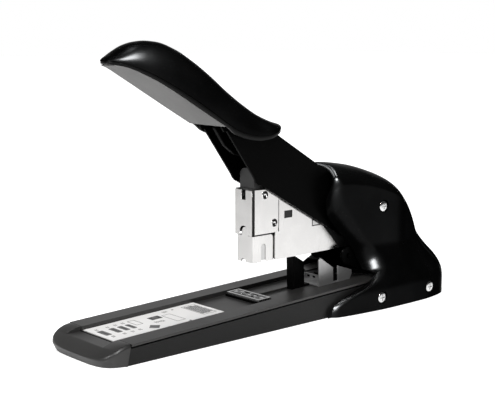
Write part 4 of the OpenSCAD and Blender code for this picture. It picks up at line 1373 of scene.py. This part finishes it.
    def spring(self) -> None:
        """The coil that lifts the magazine, drawn at one length; the real one shortens as the magazine goes
        down.
        """
        low, high = self.coil_z
        turns, steps = 6, 40
        path = []
        for i in range(turns * steps + 1):
            a = math.tau * i / steps
            x, y = self.coil_x + self.coil_r * math.cos(a), self.coil_r * math.sin(a)
            path.append((x, y, blend(low, high, i / (turns * steps))))
        obj = wire_tree("coil", Finish.spring_steel).grow("lift_coil", path, path=True)
        shade(obj, 50)
        Piece(obj, self.body, Finish.spring_steel, ("lift_spring",)).settle()
        low * MM
        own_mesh(obj)


# ----------------------------------------------------------------------------------------------
# Rear housing
# ----------------------------------------------------------------------------------------------


@dataclass
class Housing(SubAssembly):
    """The moulded clamshell that stands over the rear of the base.

    Args:
        shell_t: Wall.
        shoulder_r: Radius of the shoulder under a high crest.
        bend: Share of a section that the crest and the shoulder take up.
        corner: Shares of a section between which the front lip grows to its full radius.
        lip_r: Radius of the lip.
        lip_foot: What the lip's radius gains towards the foot.
        lip_lobe: What it gains at the lobe over the rails.
        lip_depth: How far the lip goes on inwards.
        lip_z: Heights between which the lobe lies.
        skirt_z: Heights between which the skirt swells out to the foot.
        screws: Places of the screws in X and Z.
        upper_z: Screws over this height go into the frame bracket's standoffs.
        seat_depth: Depth of a screw's seat under the surface.
        far_out: A distance from the middle that is outside every wall.
        crest: Height of the crest along X.
        foot: Half width at the foot along X.
        shoulder: Half width at the shoulder along X.
        front: Place of the front edge by height.
    """

    body: str = "base"
    shell_t: float = 2.6
    shoulder_r: float = 14.0
    bend: float = 0.36
    corner: Pair = (0.24, 0.36)
    lip_r: float = 7.0
    lip_foot: float = 2.0
    lip_lobe: float = 3.0
    lip_depth: float = 3.4
    lip_z: Pair = (24.0, 50.0)
    skirt_z: Pair = (12.0, 46.0)
    screws: tuple[Pair, ...] = ((86.5, 71.4), (72.0, 9.0), (125.0, 8.6))
    upper_z: float = 40.0
    seat_depth: float = 1.6
    far_out: float = 50.0
    crest: Profile = Profile(
        [(NOSE_X, 104), (50, 103.4), (71, 100.9), (90, 95.7), (104, 89.7), (114, 81), (121, 71.5),
         (128, 58.6), (137, 45.5), (147, 34), (154, 21), (REAR_X - 1.2, 9.5), (REAR_X, 2)])
    foot: Profile = Profile(
        [(20, 35), (27, 36.2), (33, 38), (45, 40), (60, 41.6), (80, 43), (100, 43), (120, 42.4), (133, 40.4),
         (143, 37.6), (150, 33), (155, 27), (REAR_X - 1, 18.5), (REAR_X, 1)])
    shoulder: Profile = Profile(
        [(20, 25), (45, 26), (80, 29), (100, 30.4), (112, 28.6), (120, 27.2), (130, 25), (145, 19.5),
         (155, 16), (REAR_X, 1)])
    front: Profile = Profile(
        [(0, 24.6), (4, 25.2), (8, 28), (12, 36), (16.5, 50), (20.5, 62), (24, 68), (30, 72.5), (36, 72.5),
         (43, 70), (51, 63.5), (57, 58), (64, 52.5), (70, 47.5), (77, 42.5), (86, 41.5), (95, 42.5),
         (100.5, 46), (105.4, 49.5)])

    def side_half(self, x: float, z: float) -> float:
        """Half width of the side at a place.

        Args:
            x: Place along the housing.
            z: Height.

        Returns:
            The half width.
        """
        wide = min(self.shoulder(x), self.foot(x))
        low, high = self.skirt_z
        return wide + (self.foot(x) - wide) * (1 - ease((z - low) / (high - low)))

    def round_r(self, top: float) -> float:
        """Radius of the shoulder under a crest of a given height."""
        return min(self.shoulder_r, top * 0.6)

    def point(self, x: float, v: float, inset: float, keep: float) -> Point:
        """A point of the section at x: v runs from the crest (0) round the shoulder to the foot (1).

        Args:
            x: Place along the housing.
            v: Share of the way down the section.
            inset: Distance inside the outer surface.
            keep: Distance kept from the base where the housing stands beside it.

        Returns:
            The point.
        """
        top = max(1.2, self.crest(x) - inset)
        r = self.round_r(top)
        crown = 0.9 * r / self.shoulder_r
        if v < self.bend:
            wide = max(0.4, self.side_half(x, top - r) - inset)
            a = math.pi / 2 * v / self.bend
            y = (max(0.0, wide - r) + min(r, wide)) * math.sin(a)
            return (x, y, top - crown * math.sin(a) ** 2 - (r - crown) * (1 - math.cos(a)))
        z = blend(top - r, FLOOR_Z, (v - self.bend) / (1 - self.bend))
        beside = x < 108 and z < top_z(x) + 5
        return (x, max(0.4, self.side_half(x, z) - inset, HALF_W + keep if beside else 0.0), z)

    def lip(self, v: float, z: float) -> Pair:
        """Radius and depth of the lip that the front edge turns in.

        Args:
            v: Share of the way down the section.
            z: Height there.

        Returns:
            The radius and the depth.
        """
        grow = ease((v - self.corner[0]) / (self.corner[1] - self.corner[0]))
        low, high = self.lip_z
        lobe = ease((high - z) / 10) * ease((z - low) / 8)
        full = self.lip_r + self.lip_foot * ease((high - z) / 14) + self.lip_lobe * lobe
        return blend(self.shell_t + 0.2, full, grow), self.lip_depth * grow * ease((z - 21) / 4)

    def grid(self, t: float, rows: int = 96, columns: int = 120, lips: int = 18) -> np.ndarray:
        """Grid of points over the left half, t inside the outer surface.

        Args:
            t: Distance inside the outer surface.
            rows: Steps along the housing.
            columns: Steps down the section.
            lips: Rows that turn in round the lip.

        Returns:
            The points, by row and column.
        """
        out = np.zeros((rows + 1, columns + 1, 3))
        for j in range(columns + 1):
            v = j / columns
            z = self.point(45, v, 0, 0)[2]
            start = self.front(z)
            r, depth = self.lip(v, z)
            for i in range(rows + 1):
                a = math.pi / 2 * max(0, i - 1) / (lips - 1)
                inset = t
                x = blend(start + r, REAR_X - t, math.sin(math.pi / 2 * (i - lips + 1) / (rows - lips + 1)))
                if i < lips:
                    inset = r + depth if i == 0 else t + (r - t) * (1 - math.sin(a))
                    x = start + t + (r - t) * (1 - math.cos(a))
                last = (REAR_X - t, 0.0, FLOOR_Z)
                out[i, j] = last if i == rows else self.point(x, v, inset, 0.15 if t > 0 else 0.95)
        return out

    def seat(self, x: float, z: float) -> float:
        """Distance from the middle to a screw's seat in its recess."""
        return self.side_half(x, z) - self.seat_depth

    def boss_end(self, z: float) -> float:
        """Distance from the middle to the inner end of a screw's boss."""
        return BRACKET_OUT + 6 if z > self.upper_z else 33.3

    def half(self, side: int) -> None:
        """One moulded half with its screw bosses and recesses.

        Args:
            side: 1 for the left half, -1 for the right.
        """
        outer, inner = self.grid(0.0), self.grid(self.shell_t)
        outer[:, :, 1] *= side
        inner[:, :, 1] *= side
        name = "housing_left" if side > 0 else "housing_right"
        obj = grid_shell(f"{name}_skin", outer, inner)
        for x, z in self.screws:
            start, end = side * (self.seat(x, z) + 0.6), side * self.boss_end(z)
            boolean(obj, rod("boss", (x, start, z), (x, end, z), 6), "UNION")
        far = side * self.far_out
        for x, z in self.screws:
            recess = rod("recess", (x, side * self.seat(x, z), z), (x, far, z), 4.6)
            boolean(obj, recess, "DIFFERENCE")
            boolean(obj, rod("hole", (x, side * 2, z), (x, far, z), 1.9, 32), "DIFFERENCE")
        shade(obj, 32)
        Piece(obj, self.body, Finish.gloss_black, (name,)).settle()

    def make(self) -> None:
        """Both halves and their screws."""
        for side in (-1, 1):
            self.half(side)
        points, ways, lengths = [], [], []
        for x, z in self.screws:
            seat = self.seat(x, z)
            reach = seat - self.boss_end(z) + (5 if z > self.upper_z else 4)
            for side in (-1, 1):
                points.append((x, side * seat, z))
                ways.append((0.0, float(side), 0.0))
                lengths.append(reach)
        tree = screw_tree("pan_screws", Finish.fastener)
        obj = tree.grow("case_screws", points, ways, lengths=lengths)
        Piece(shade(obj, 40), self.body, Finish.fastener, ("housing_screws",)).settle()


# ----------------------------------------------------------------------------------------------
# Moving groups
# ----------------------------------------------------------------------------------------------


@dataclass
class PaperStop(SubAssembly):
    """The stop that slides in the bed's channel."""

    body: str = "paper_stop"
    soft: dict[str, float] = field(default_factory=lambda: {
        "stop_post": 0.5, "stop_carriage": 0.16, "stop_slider": 0.4, "stop_rivets": 0.3})


@dataclass
class Magazine(SubAssembly):
    """The hinged head: inner frame, bright side plates, cheeks and front plate.

    Args:
        plate_out: Distance from the middle to the outside of the side plates.
        front_back_x: Place of the front plate's back.
        front_thin: How much thinner the front plate is made there.
        gap_x: Limits of the gap behind each cheek along X.
        gap_y: Its limits across.
        gap_z: Its limits in height.
    """

    body: str = "magazine"
    soft: dict[str, float] = field(default_factory=lambda: {
        "magazine_frame": 0.12, "side_plate_right": 0.14, "side_plate_left": 0.14, "head_cheek_right": 0.2,
        "head_cheek_left": 0.2, "head_front": 0.28, "frame_spacers": 0.3, "feed_roll": 0.08})
    plate_out: float = 9.3
    front_back_x: float = -21.3
    front_thin: float = 0.7
    gap_x: Pair = (1.45, 2.3)
    gap_y: Pair = (8.3, 9.5)
    gap_z: Pair = (60.6, 82.4)

    def make(self) -> None:
        """Finishes the head and sets its rivets."""
        super().make()
        self.front_sheet()
        points = [(x, side * self.plate_out, z) for x, z in RIVETS for side in (-1, 1)]
        ways = [(0.0, float(side), 0.0) for _ in RIVETS for side in (-1, 1)]
        finish, node = Finish.rivet_steel, "head_rivets"
        obj = rivet_tree("domed_rivets", finish).grow("cheek_rivets", points, ways)
        Piece(shade(obj, 40), self.body, finish, (node,), self.slot_of(node)).settle()

    def front_sheet(self) -> None:
        """Dark joints round the cheeks: a thin front plate, and a gap behind each cheek."""
        obj = self.pieces["head_front"]
        for vertex in obj.data.vertices:
            if vertex.co.x > self.front_back_x * MM:
                vertex.co.x -= self.front_thin * MM
        for side, node in ((-1, "side_plate_right"), (1, "side_plate_left")):
            low, high = sorted(side * y for y in self.gap_y)
            gap = brick("gap", self.gap_x, (low, high), self.gap_z)
            boolean(self.pieces[node], gap, "DIFFERENCE")
            weigh(self.pieces[node])


@dataclass
class Drawer(SubAssembly):
    """The loading drawer: front gate, staple channel and rail."""

    body: str = "drawer"
    soft: dict[str, float] = field(default_factory=lambda: {
        "front_gate": 0.2, "staple_channel": 0.1, "staple_rail": 0.15})


@dataclass
class Pusher(SubAssembly):
    """The block that presses the staples forward."""

    body: str = "pusher"
    soft: dict[str, float] = field(default_factory=lambda: {"staple_pusher": 0.3})


@dataclass
class Release(SubAssembly):
    """The latch in the head's window."""

    body: str = "release"
    soft: dict[str, float] = field(default_factory=lambda: {"release_lever": 0.12})


@dataclass
class Driver(SubAssembly):
    """The carrier that slides in the head, with its blade and pin."""

    body: str = "driver"
    soft: dict[str, float] = field(default_factory=lambda: {
        "driver_carrier": 0.9, "driver_blade": 0.1, "drive_pin": 0.3})


@dataclass
class Lever(SubAssembly):
    """The long lever: steel arm, drive plate and moulded grip.

    Args:
        x: Front and rear end of the grip.
        half_w: Half width of the grip.
        front_a: Length of its rounded front in plan.
        rear_a: Length of its rounded rear in plan.
        wall: Wall of the rim.
        grip_t: Wall of the glossy shell.
        crest: Height of the crest along X.
        seam: Height of the shell's lower edge along X.
        under: Height of the rim's underside along X.
        panel_lap: How far the panel stands into the rim.
        panel_x: Front and rear end of the panel.
        coil_r: Radius of the torsion spring's coil.
        coil_reach: Distance from the middle to its two legs.
    """

    body: str = "lever"
    soft: dict[str, float] = field(default_factory=lambda: {
        "lever_arm": 0.35, "drive_plate": 0.5, "handle_core": 0.4})
    x: Pair = (-133.0, 6.5)
    half_w: float = 18.5
    front_a: float = 45.0
    rear_a: float = 21.0
    wall: float = 2.0
    grip_t: float = 2.2
    crest: Profile = Profile(
        [(x, GRIP_TOP - d) for x, d in (
            (-133, 10.6), (-128, 8.7), (-122, 5.3), (-116, 2.4), (-110, 0.8), (-103, 0.14), (-95, 0.8),
            (-82, 5.2), (-70, 11.8), (-57, 20.6), (-43.5, 31), (-30, 40.5), (-16, 49), (-3, 54.3),
            (6.5, 56.7))])
    seam: Profile = Profile(
        [(-133, 178.4), (-129, 178), (-122, 176.3), (-114, 173.3), (-105, 169.2), (-95, 164), (-86, 159.2),
         (-76, 153.6), (-65, 147), (-52, 138.8), (-43, 133.6), (-32, 129.8), (-20, 128.1), (-9, 128.8),
         (-2, 130.4), (6.5, 132.4)])
    under: Profile = Profile(
        [(-133, 176.0), (-130, 175.6), (-125, 174.6), (-120, 172.9), (-110, 168.2), (-100, 163), (-90, 157.3),
         (-70, 145.6), (-53, 135.8), (-43, 130), (-32, 126.4), (-22, 125), (-13, 125.6), (-5, 127.6),
         (6.5, 130.4)])
    panel_lap: float = 0.7
    panel_x: Pair = (-129.0, -52.8)
    coil_r: float = 6.4
    coil_reach: float = 5.2

    def half(self, x: float) -> float:
        """Half width of the grip in plan.

        Args:
            x: Place along the grip.

        Returns:
            The half width.
        """
        front = max(0.0, self.x[0] + self.front_a - x) / self.front_a
        rear = max(0.0, x - self.x[1] + self.rear_a) / self.rear_a
        return self.half_w * math.sqrt(max(0.0, 1 - front * front - rear * rear))

    def dome(self, t: float, rows: int = 130, columns: int = 72) -> np.ndarray:
        """Grid over the domed top, t inside the outer surface.

        Args:
            t: Distance inside the outer surface.
            rows: Steps along the grip.
            columns: Steps across it.

        Returns:
            The points, by row and column.
        """
        low, high = self.x[0] + 2.4 * t, self.x[1] - 1.2 * t
        out = np.zeros((rows + 1, columns + 1, 3))
        for i in range(rows + 1):
            x = blend(low, high, (1 - math.cos(math.pi * i / rows)) / 2)
            wide = self.half(blend(*self.x, (x - low) / (high - low))) * (1 - t / self.half_w)
            rim = self.seam(x)
            rise = max(0.3, self.crest(x) - t - rim) * math.sqrt(1 - max(0.0, 1 - (x - low) / 5) ** 2)
            for j in range(columns + 1):
                a = math.pi * (j / columns - 0.5)
                y = wide * math.copysign(abs(math.sin(a)) ** 0.9, math.sin(a))
                tip = i in (0, rows)
                out[i, j] = (x, 0, rim) if tip else (x, y, rim + rise * max(0.0, math.cos(a)) ** 0.85)
        return out

    def ring(self, t: float, count: int) -> list[Pair]:
        """Plan outline of the grip, t inside its edge.

        Args:
            t: Distance inside the edge.
            count: Points on the outline.

        Returns:
            The outline.
        """
        out = []
        for i in range(count):
            a = math.tau * i / count
            share = (1 - math.cos(a)) / 2
            wide = self.half(blend(*self.x, share)) * (1 - t / self.half_w)
            out.append((blend(self.x[0] + t, self.x[1] - t, share), -wide if a < math.pi else wide))
        return out

    def rim_under(self, x: float) -> float:
        """Lower edge of the rim: behind the panel it comes down to its full depth."""
        return self.under(x) + (self.panel_lap + 0.25) * (1 - ease((x + 50) / 6))

    def rim(self, count: int = 320) -> None:
        """The rim that carries the glossy shell.

        Args:
            count: Points round the rim.
        """
        outer, inner = self.ring(0.3, count), self.ring(0.3 + self.wall, count)
        rings = (
            [(x, y, self.seam(x) - 0.08) for x, y in outer], [(x, y, self.rim_under(x)) for x, y in outer],
            [(x, y, self.rim_under(x)) for x, y in inner], [(x, y, self.seam(x) - 0.08) for x, y in inner])
        faces = []
        for band in range(4):
            a, b = band * count, (band + 1) % 4 * count
            for i in range(count):
                k = (i + 1) % count
                faces.append((a + i, a + k, b + k, b + i))
        obj = mesh_object("handle_frame_rim", [p for ring in rings for p in ring], faces)
        bevel(obj, 0.25, 2, 50)
        shade(obj, 40)
        Piece(obj, self.body, Finish.rim_grey, ("handle_frame",)).settle()

    def layer(self, t: float, low: float, high: float, rows: int = 90) -> bpy.types.Object:
        """Layer under the grip, t inside its plan outline.

        Args:
            t: Distance inside the plan outline.
            low: Lower face over the rim's underside.
            high: Upper face over it.
            rows: Steps along the grip.

        Returns:
            The new object.
        """
        first = max(self.panel_x[0], self.x[0] + t)
        points: list[Point] = []
        for i in range(rows + 1):
            x = blend(first, self.panel_x[1], i / rows)
            share = (x - self.x[0] - t) / (self.x[1] - self.x[0] - 2 * t)
            wide = max(0.05, self.half(blend(*self.x, share)) * (1 - t / self.half_w))
            z = self.under(x)
            points += [(x, -wide, z + low), (x, wide, z + low), (x, wide, z + high), (x, -wide, z + high)]
        faces: list[tuple[int, ...]] = [(0, 1, 2, 3), tuple(4 * rows + k for k in range(4))]
        for i in range(rows):
            for j in range(4):
                a, k = 4 * i + j, 4 * i + (j + 1) % 4
                faces.append((a, k, k + 4, a + 4))
        return mesh_object("layer", points, faces)

    def panel(self) -> None:
        """The pale panel let into the underside."""
        obj = self.layer(0.5, 0.0, self.panel_lap)
        boolean(obj, self.layer(0.6 + self.wall, self.panel_lap - 0.2, 2.0), "UNION")
        obj.name = "handle_panel_skin"
        bevel(obj, 0.2, 2, 50)
        shade(obj, 40)
        Piece(obj, self.body, Finish.panel_grey, ("handle_panel",)).settle()

    def spring(self) -> None:
        """The torsion spring round the pivot with its two legs."""
        reach, turns, steps = self.coil_reach, 6, 40
        path: list[Point] = [(90, -reach, 60), (99, -reach, 52)]
        for i in range(turns * steps + 1):
            a = math.radians(150) + math.tau * i / steps
            y = blend(-reach, reach, i / (turns * steps))
            x, z = PIVOT[0] + self.coil_r * math.cos(a), PIVOT[1] + self.coil_r * math.sin(a)
            path.append((x, y, z))
        path += [(101, reach, 55.5), (93, reach, 66.6)]
        tree = wire_tree("torsion", Finish.spring_steel)
        obj = tree.grow("torsion_coil", path, path=True, wire_r=0.9)
        shade(obj, 50)
        Piece(obj, self.body, Finish.spring_steel, ("lever_spring",)).settle()

    def make(self) -> None:
        """Finishes the lever and its grip."""
        super().make()
        obj = grid_shell("handle_shell_skin", self.dome(0.0), self.dome(self.grip_t))
        shade(obj, 45)
        Piece(obj, self.body, Finish.gloss_black, ("handle_shell",)).settle()
        self.rim()
        self.panel()
        self.spring()


# ----------------------------------------------------------------------------------------------
# Studio
# ----------------------------------------------------------------------------------------------


@dataclass(frozen=True)
class Lamp:
    """A soft panel of light.

    Args:
        name: Name of the lamp.
        place: Where it hangs, in metres.
        size: Length and width in metres.
        power: Power in watts.
        aim: The point it faces, in metres.
        polish: If given, it only draws highlights on the polished mouldings whose names start so.
    """

    name: str
    place: Point
    size: Pair
    power: float
    aim: Point = (0.0, 0.0, 0.07)
    polish: str = ""

    def hang(self) -> None:
        """Adds the lamp."""
        data = bpy.data.lights.new(self.name, "AREA")
        data.shape = "RECTANGLE"
        data.size, data.size_y = self.size
        data.energy = self.power
        obj = bpy.data.objects.new(self.name, data)
        obj.location = self.place
        way = Vector(self.aim) - Vector(self.place)
        obj.rotation_euler = way.to_track_quat("-Z", "Y").to_euler()
        obj.visible_camera = False
        bpy.context.scene.collection.objects.link(obj)
        if self.polish:
            group = bpy.data.collections.new(self.name)
            gloss = SHOP.get(Finish.gloss_black)
            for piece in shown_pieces():
                if gloss.name in piece.data.materials and piece.name.startswith(self.polish):
                    group.objects.link(piece)
            obj.light_linking.receiver_collection = group


@dataclass(frozen=True)
class Studio:
    """White room, pale floor, soft lamps and the camera.

    Args:
        ambient: How strongly the world lights the object.
        mirror: How strongly polished surfaces mirror the world.
        floor_lift: How bright the floor is where it is seen, near the object.
        floor_z: Height of the floor in millimetres.
        lens: Focal length of the camera in millimetres, on a 36 mm frame.
        eye: Where the camera stands, in metres.
        down: How far it looks down, in degrees.
        turn: How far it is turned about Z, in degrees.
        lamps: Every lamp.
    """

    ambient: float = 0.20
    mirror: float = 0.70
    floor_lift: float = 0.72
    floor_z: float = -0.05
    lens: float = 80.84
    eye: Point = (-0.50727, -0.55540, 0.19850)
    down: float = 9.109
    turn: float = -41.370
    lamps: tuple[Lamp, ...] = (
        Lamp("key", (-0.42, -0.72, 0.92), (0.26, 0.26), 12.0),
        Lamp("top", (0.02, 0.22, 1.15), (0.18, 0.18), 4.5),
        Lamp("side", (-1.05, -0.15, 0.60), (0.16, 0.4), 4.5),
        Lamp("crown_glint", (-0.23, -0.81, 1.07), (0.6, 0.6), 230.0, (-0.118, -0.013, 0.18), "handle"),
        Lamp("foot_glint", (0.13, 0.28, 1.16), (0.36, 0.36), 90.0, (0.034, -0.036, 0.01), "housing"),
        Lamp("foot_glow", (-0.643, -0.69, 0.67), (0.5, 0.5), 190.0, (0.034, -0.036, 0.01), "housing"),
        Lamp("lobe_glint", (-0.76, -0.38, 0.64), (0.44, 0.44), 110.0, (0.0755, -0.032, 0.028), "housing"),
        Lamp("lip_glint", (-0.37, 0.83, 0.835), (0.4, 0.4), 46.0, (0.044, -0.02, 0.096), "housing"),
    )

    def build(self) -> None:
        """Sets the whole stage."""
        scene = bpy.context.scene
        scene.view_settings.view_transform = "Standard"
        self.world(scene)
        self.floor()
        for lamp in self.lamps:
            lamp.hang()
        data = bpy.data.cameras.new("camera")
        data.lens = self.lens
        data.sensor_width = 36
        camera = bpy.data.objects.new("camera", data)
        camera.location = self.eye
        camera.rotation_euler = (math.radians(90 - self.down), 0, math.radians(self.turn))
        scene.collection.objects.link(camera)
        scene.camera = camera

    def world(self, scene: bpy.types.Scene) -> None:
        """White where it is seen or mirrored, dimmer where it lights.

        Args:
            scene: The scene that gets the world.
        """
        world = bpy.data.worlds.new("room")
        world.use_nodes = True
        scene.world = world
        g = Graph(world.node_tree)
        path = world.node_tree.nodes.new("ShaderNodeLightPath")
        seen = Sock(g, path.outputs["Is Camera Ray"])
        through = Sock(g, path.outputs["Is Transmission Ray"])
        mirrored = Sock(g, path.outputs["Is Glossy Ray"])
        way = world.node_tree.nodes.new("ShaderNodeTexCoord")
        across, deep, up = g.axes(Sock(g, way.outputs["Generated"]))
        low = 1 - up.smooth(0.32, 0.62) * 0.86
        tone = up.smooth(0.0, 0.9) * 0.05 + (deep + across * 0.2).smooth(0.0, 0.8) * low * 0.86 + 0.04
        mirror = tone * self.mirror
        shown = (seen + through).clamp() * (1 - self.ambient)
        strength = self.ambient + shown + mirrored * (mirror - self.ambient)
        back = g.node("ShaderNodeBackground", inputs={"Color": (1.0, 1.0, 1.0, 1.0), "Strength": strength})[0]
        g.node("ShaderNodeOutputWorld", inputs={"Surface": back})

    def floor(self) -> None:
        """Pale floor that keeps the object's shadow and a faint reflection."""
        side = 6000.0
        corners = [(x * side, y * side, self.floor_z) for x, y in ((-1, -1), (1, -1), (1, 1), (-1, 1))]
        obj = mesh_object("floor", corners, [(0, 1, 2, 3)])
        material = bpy.data.materials.new("floor")
        material.use_nodes = True
        g = Graph(material.node_tree)
        path = material.node_tree.nodes.new("ShaderNodeLightPath")
        seen = Sock(g, path.outputs["Is Camera Ray"])
        mirrored = Sock(g, path.outputs["Is Glossy Ray"])
        fields = {"Base Color": (0.9, 0.9, 0.9, 1.0), "Roughness": 0.25, "Specular IOR Level": 0.3}
        skin = g.node("ShaderNodeBsdfPrincipled", inputs=fields)[0]
        across, deep, _ = g.axes(g.place())
        mirror = (across - deep).smooth(-0.5, 0.4) * 0.46
        far = (across * across + deep * deep).smooth(0.1, 1.2)
        strength = seen * (self.floor_lift + far * (1 - self.floor_lift)) + mirrored * mirror
        glow = g.node("ShaderNodeEmission", inputs={"Color": (1.0, 1.0, 1.0, 1.0), "Strength": strength})[0]
        both = g.node("ShaderNodeAddShader", inputs={0: skin, 1: glow})[0]
        g.node("ShaderNodeOutputMaterial", inputs={"Surface": both})
        obj.data.materials.append(material)
        obj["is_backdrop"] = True


def main() -> None:
    """Builds the object's looks and its studio."""
    logging.basicConfig(level=logging.INFO, format="%(name)s: %(message)s")
    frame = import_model()
    for kind in (Base, Housing, PaperStop, Magazine, Drawer, Pusher, Release, Driver, Lever):
        kind(frame).make()
    Studio().build()


if __name__ == "__main__":
    main()
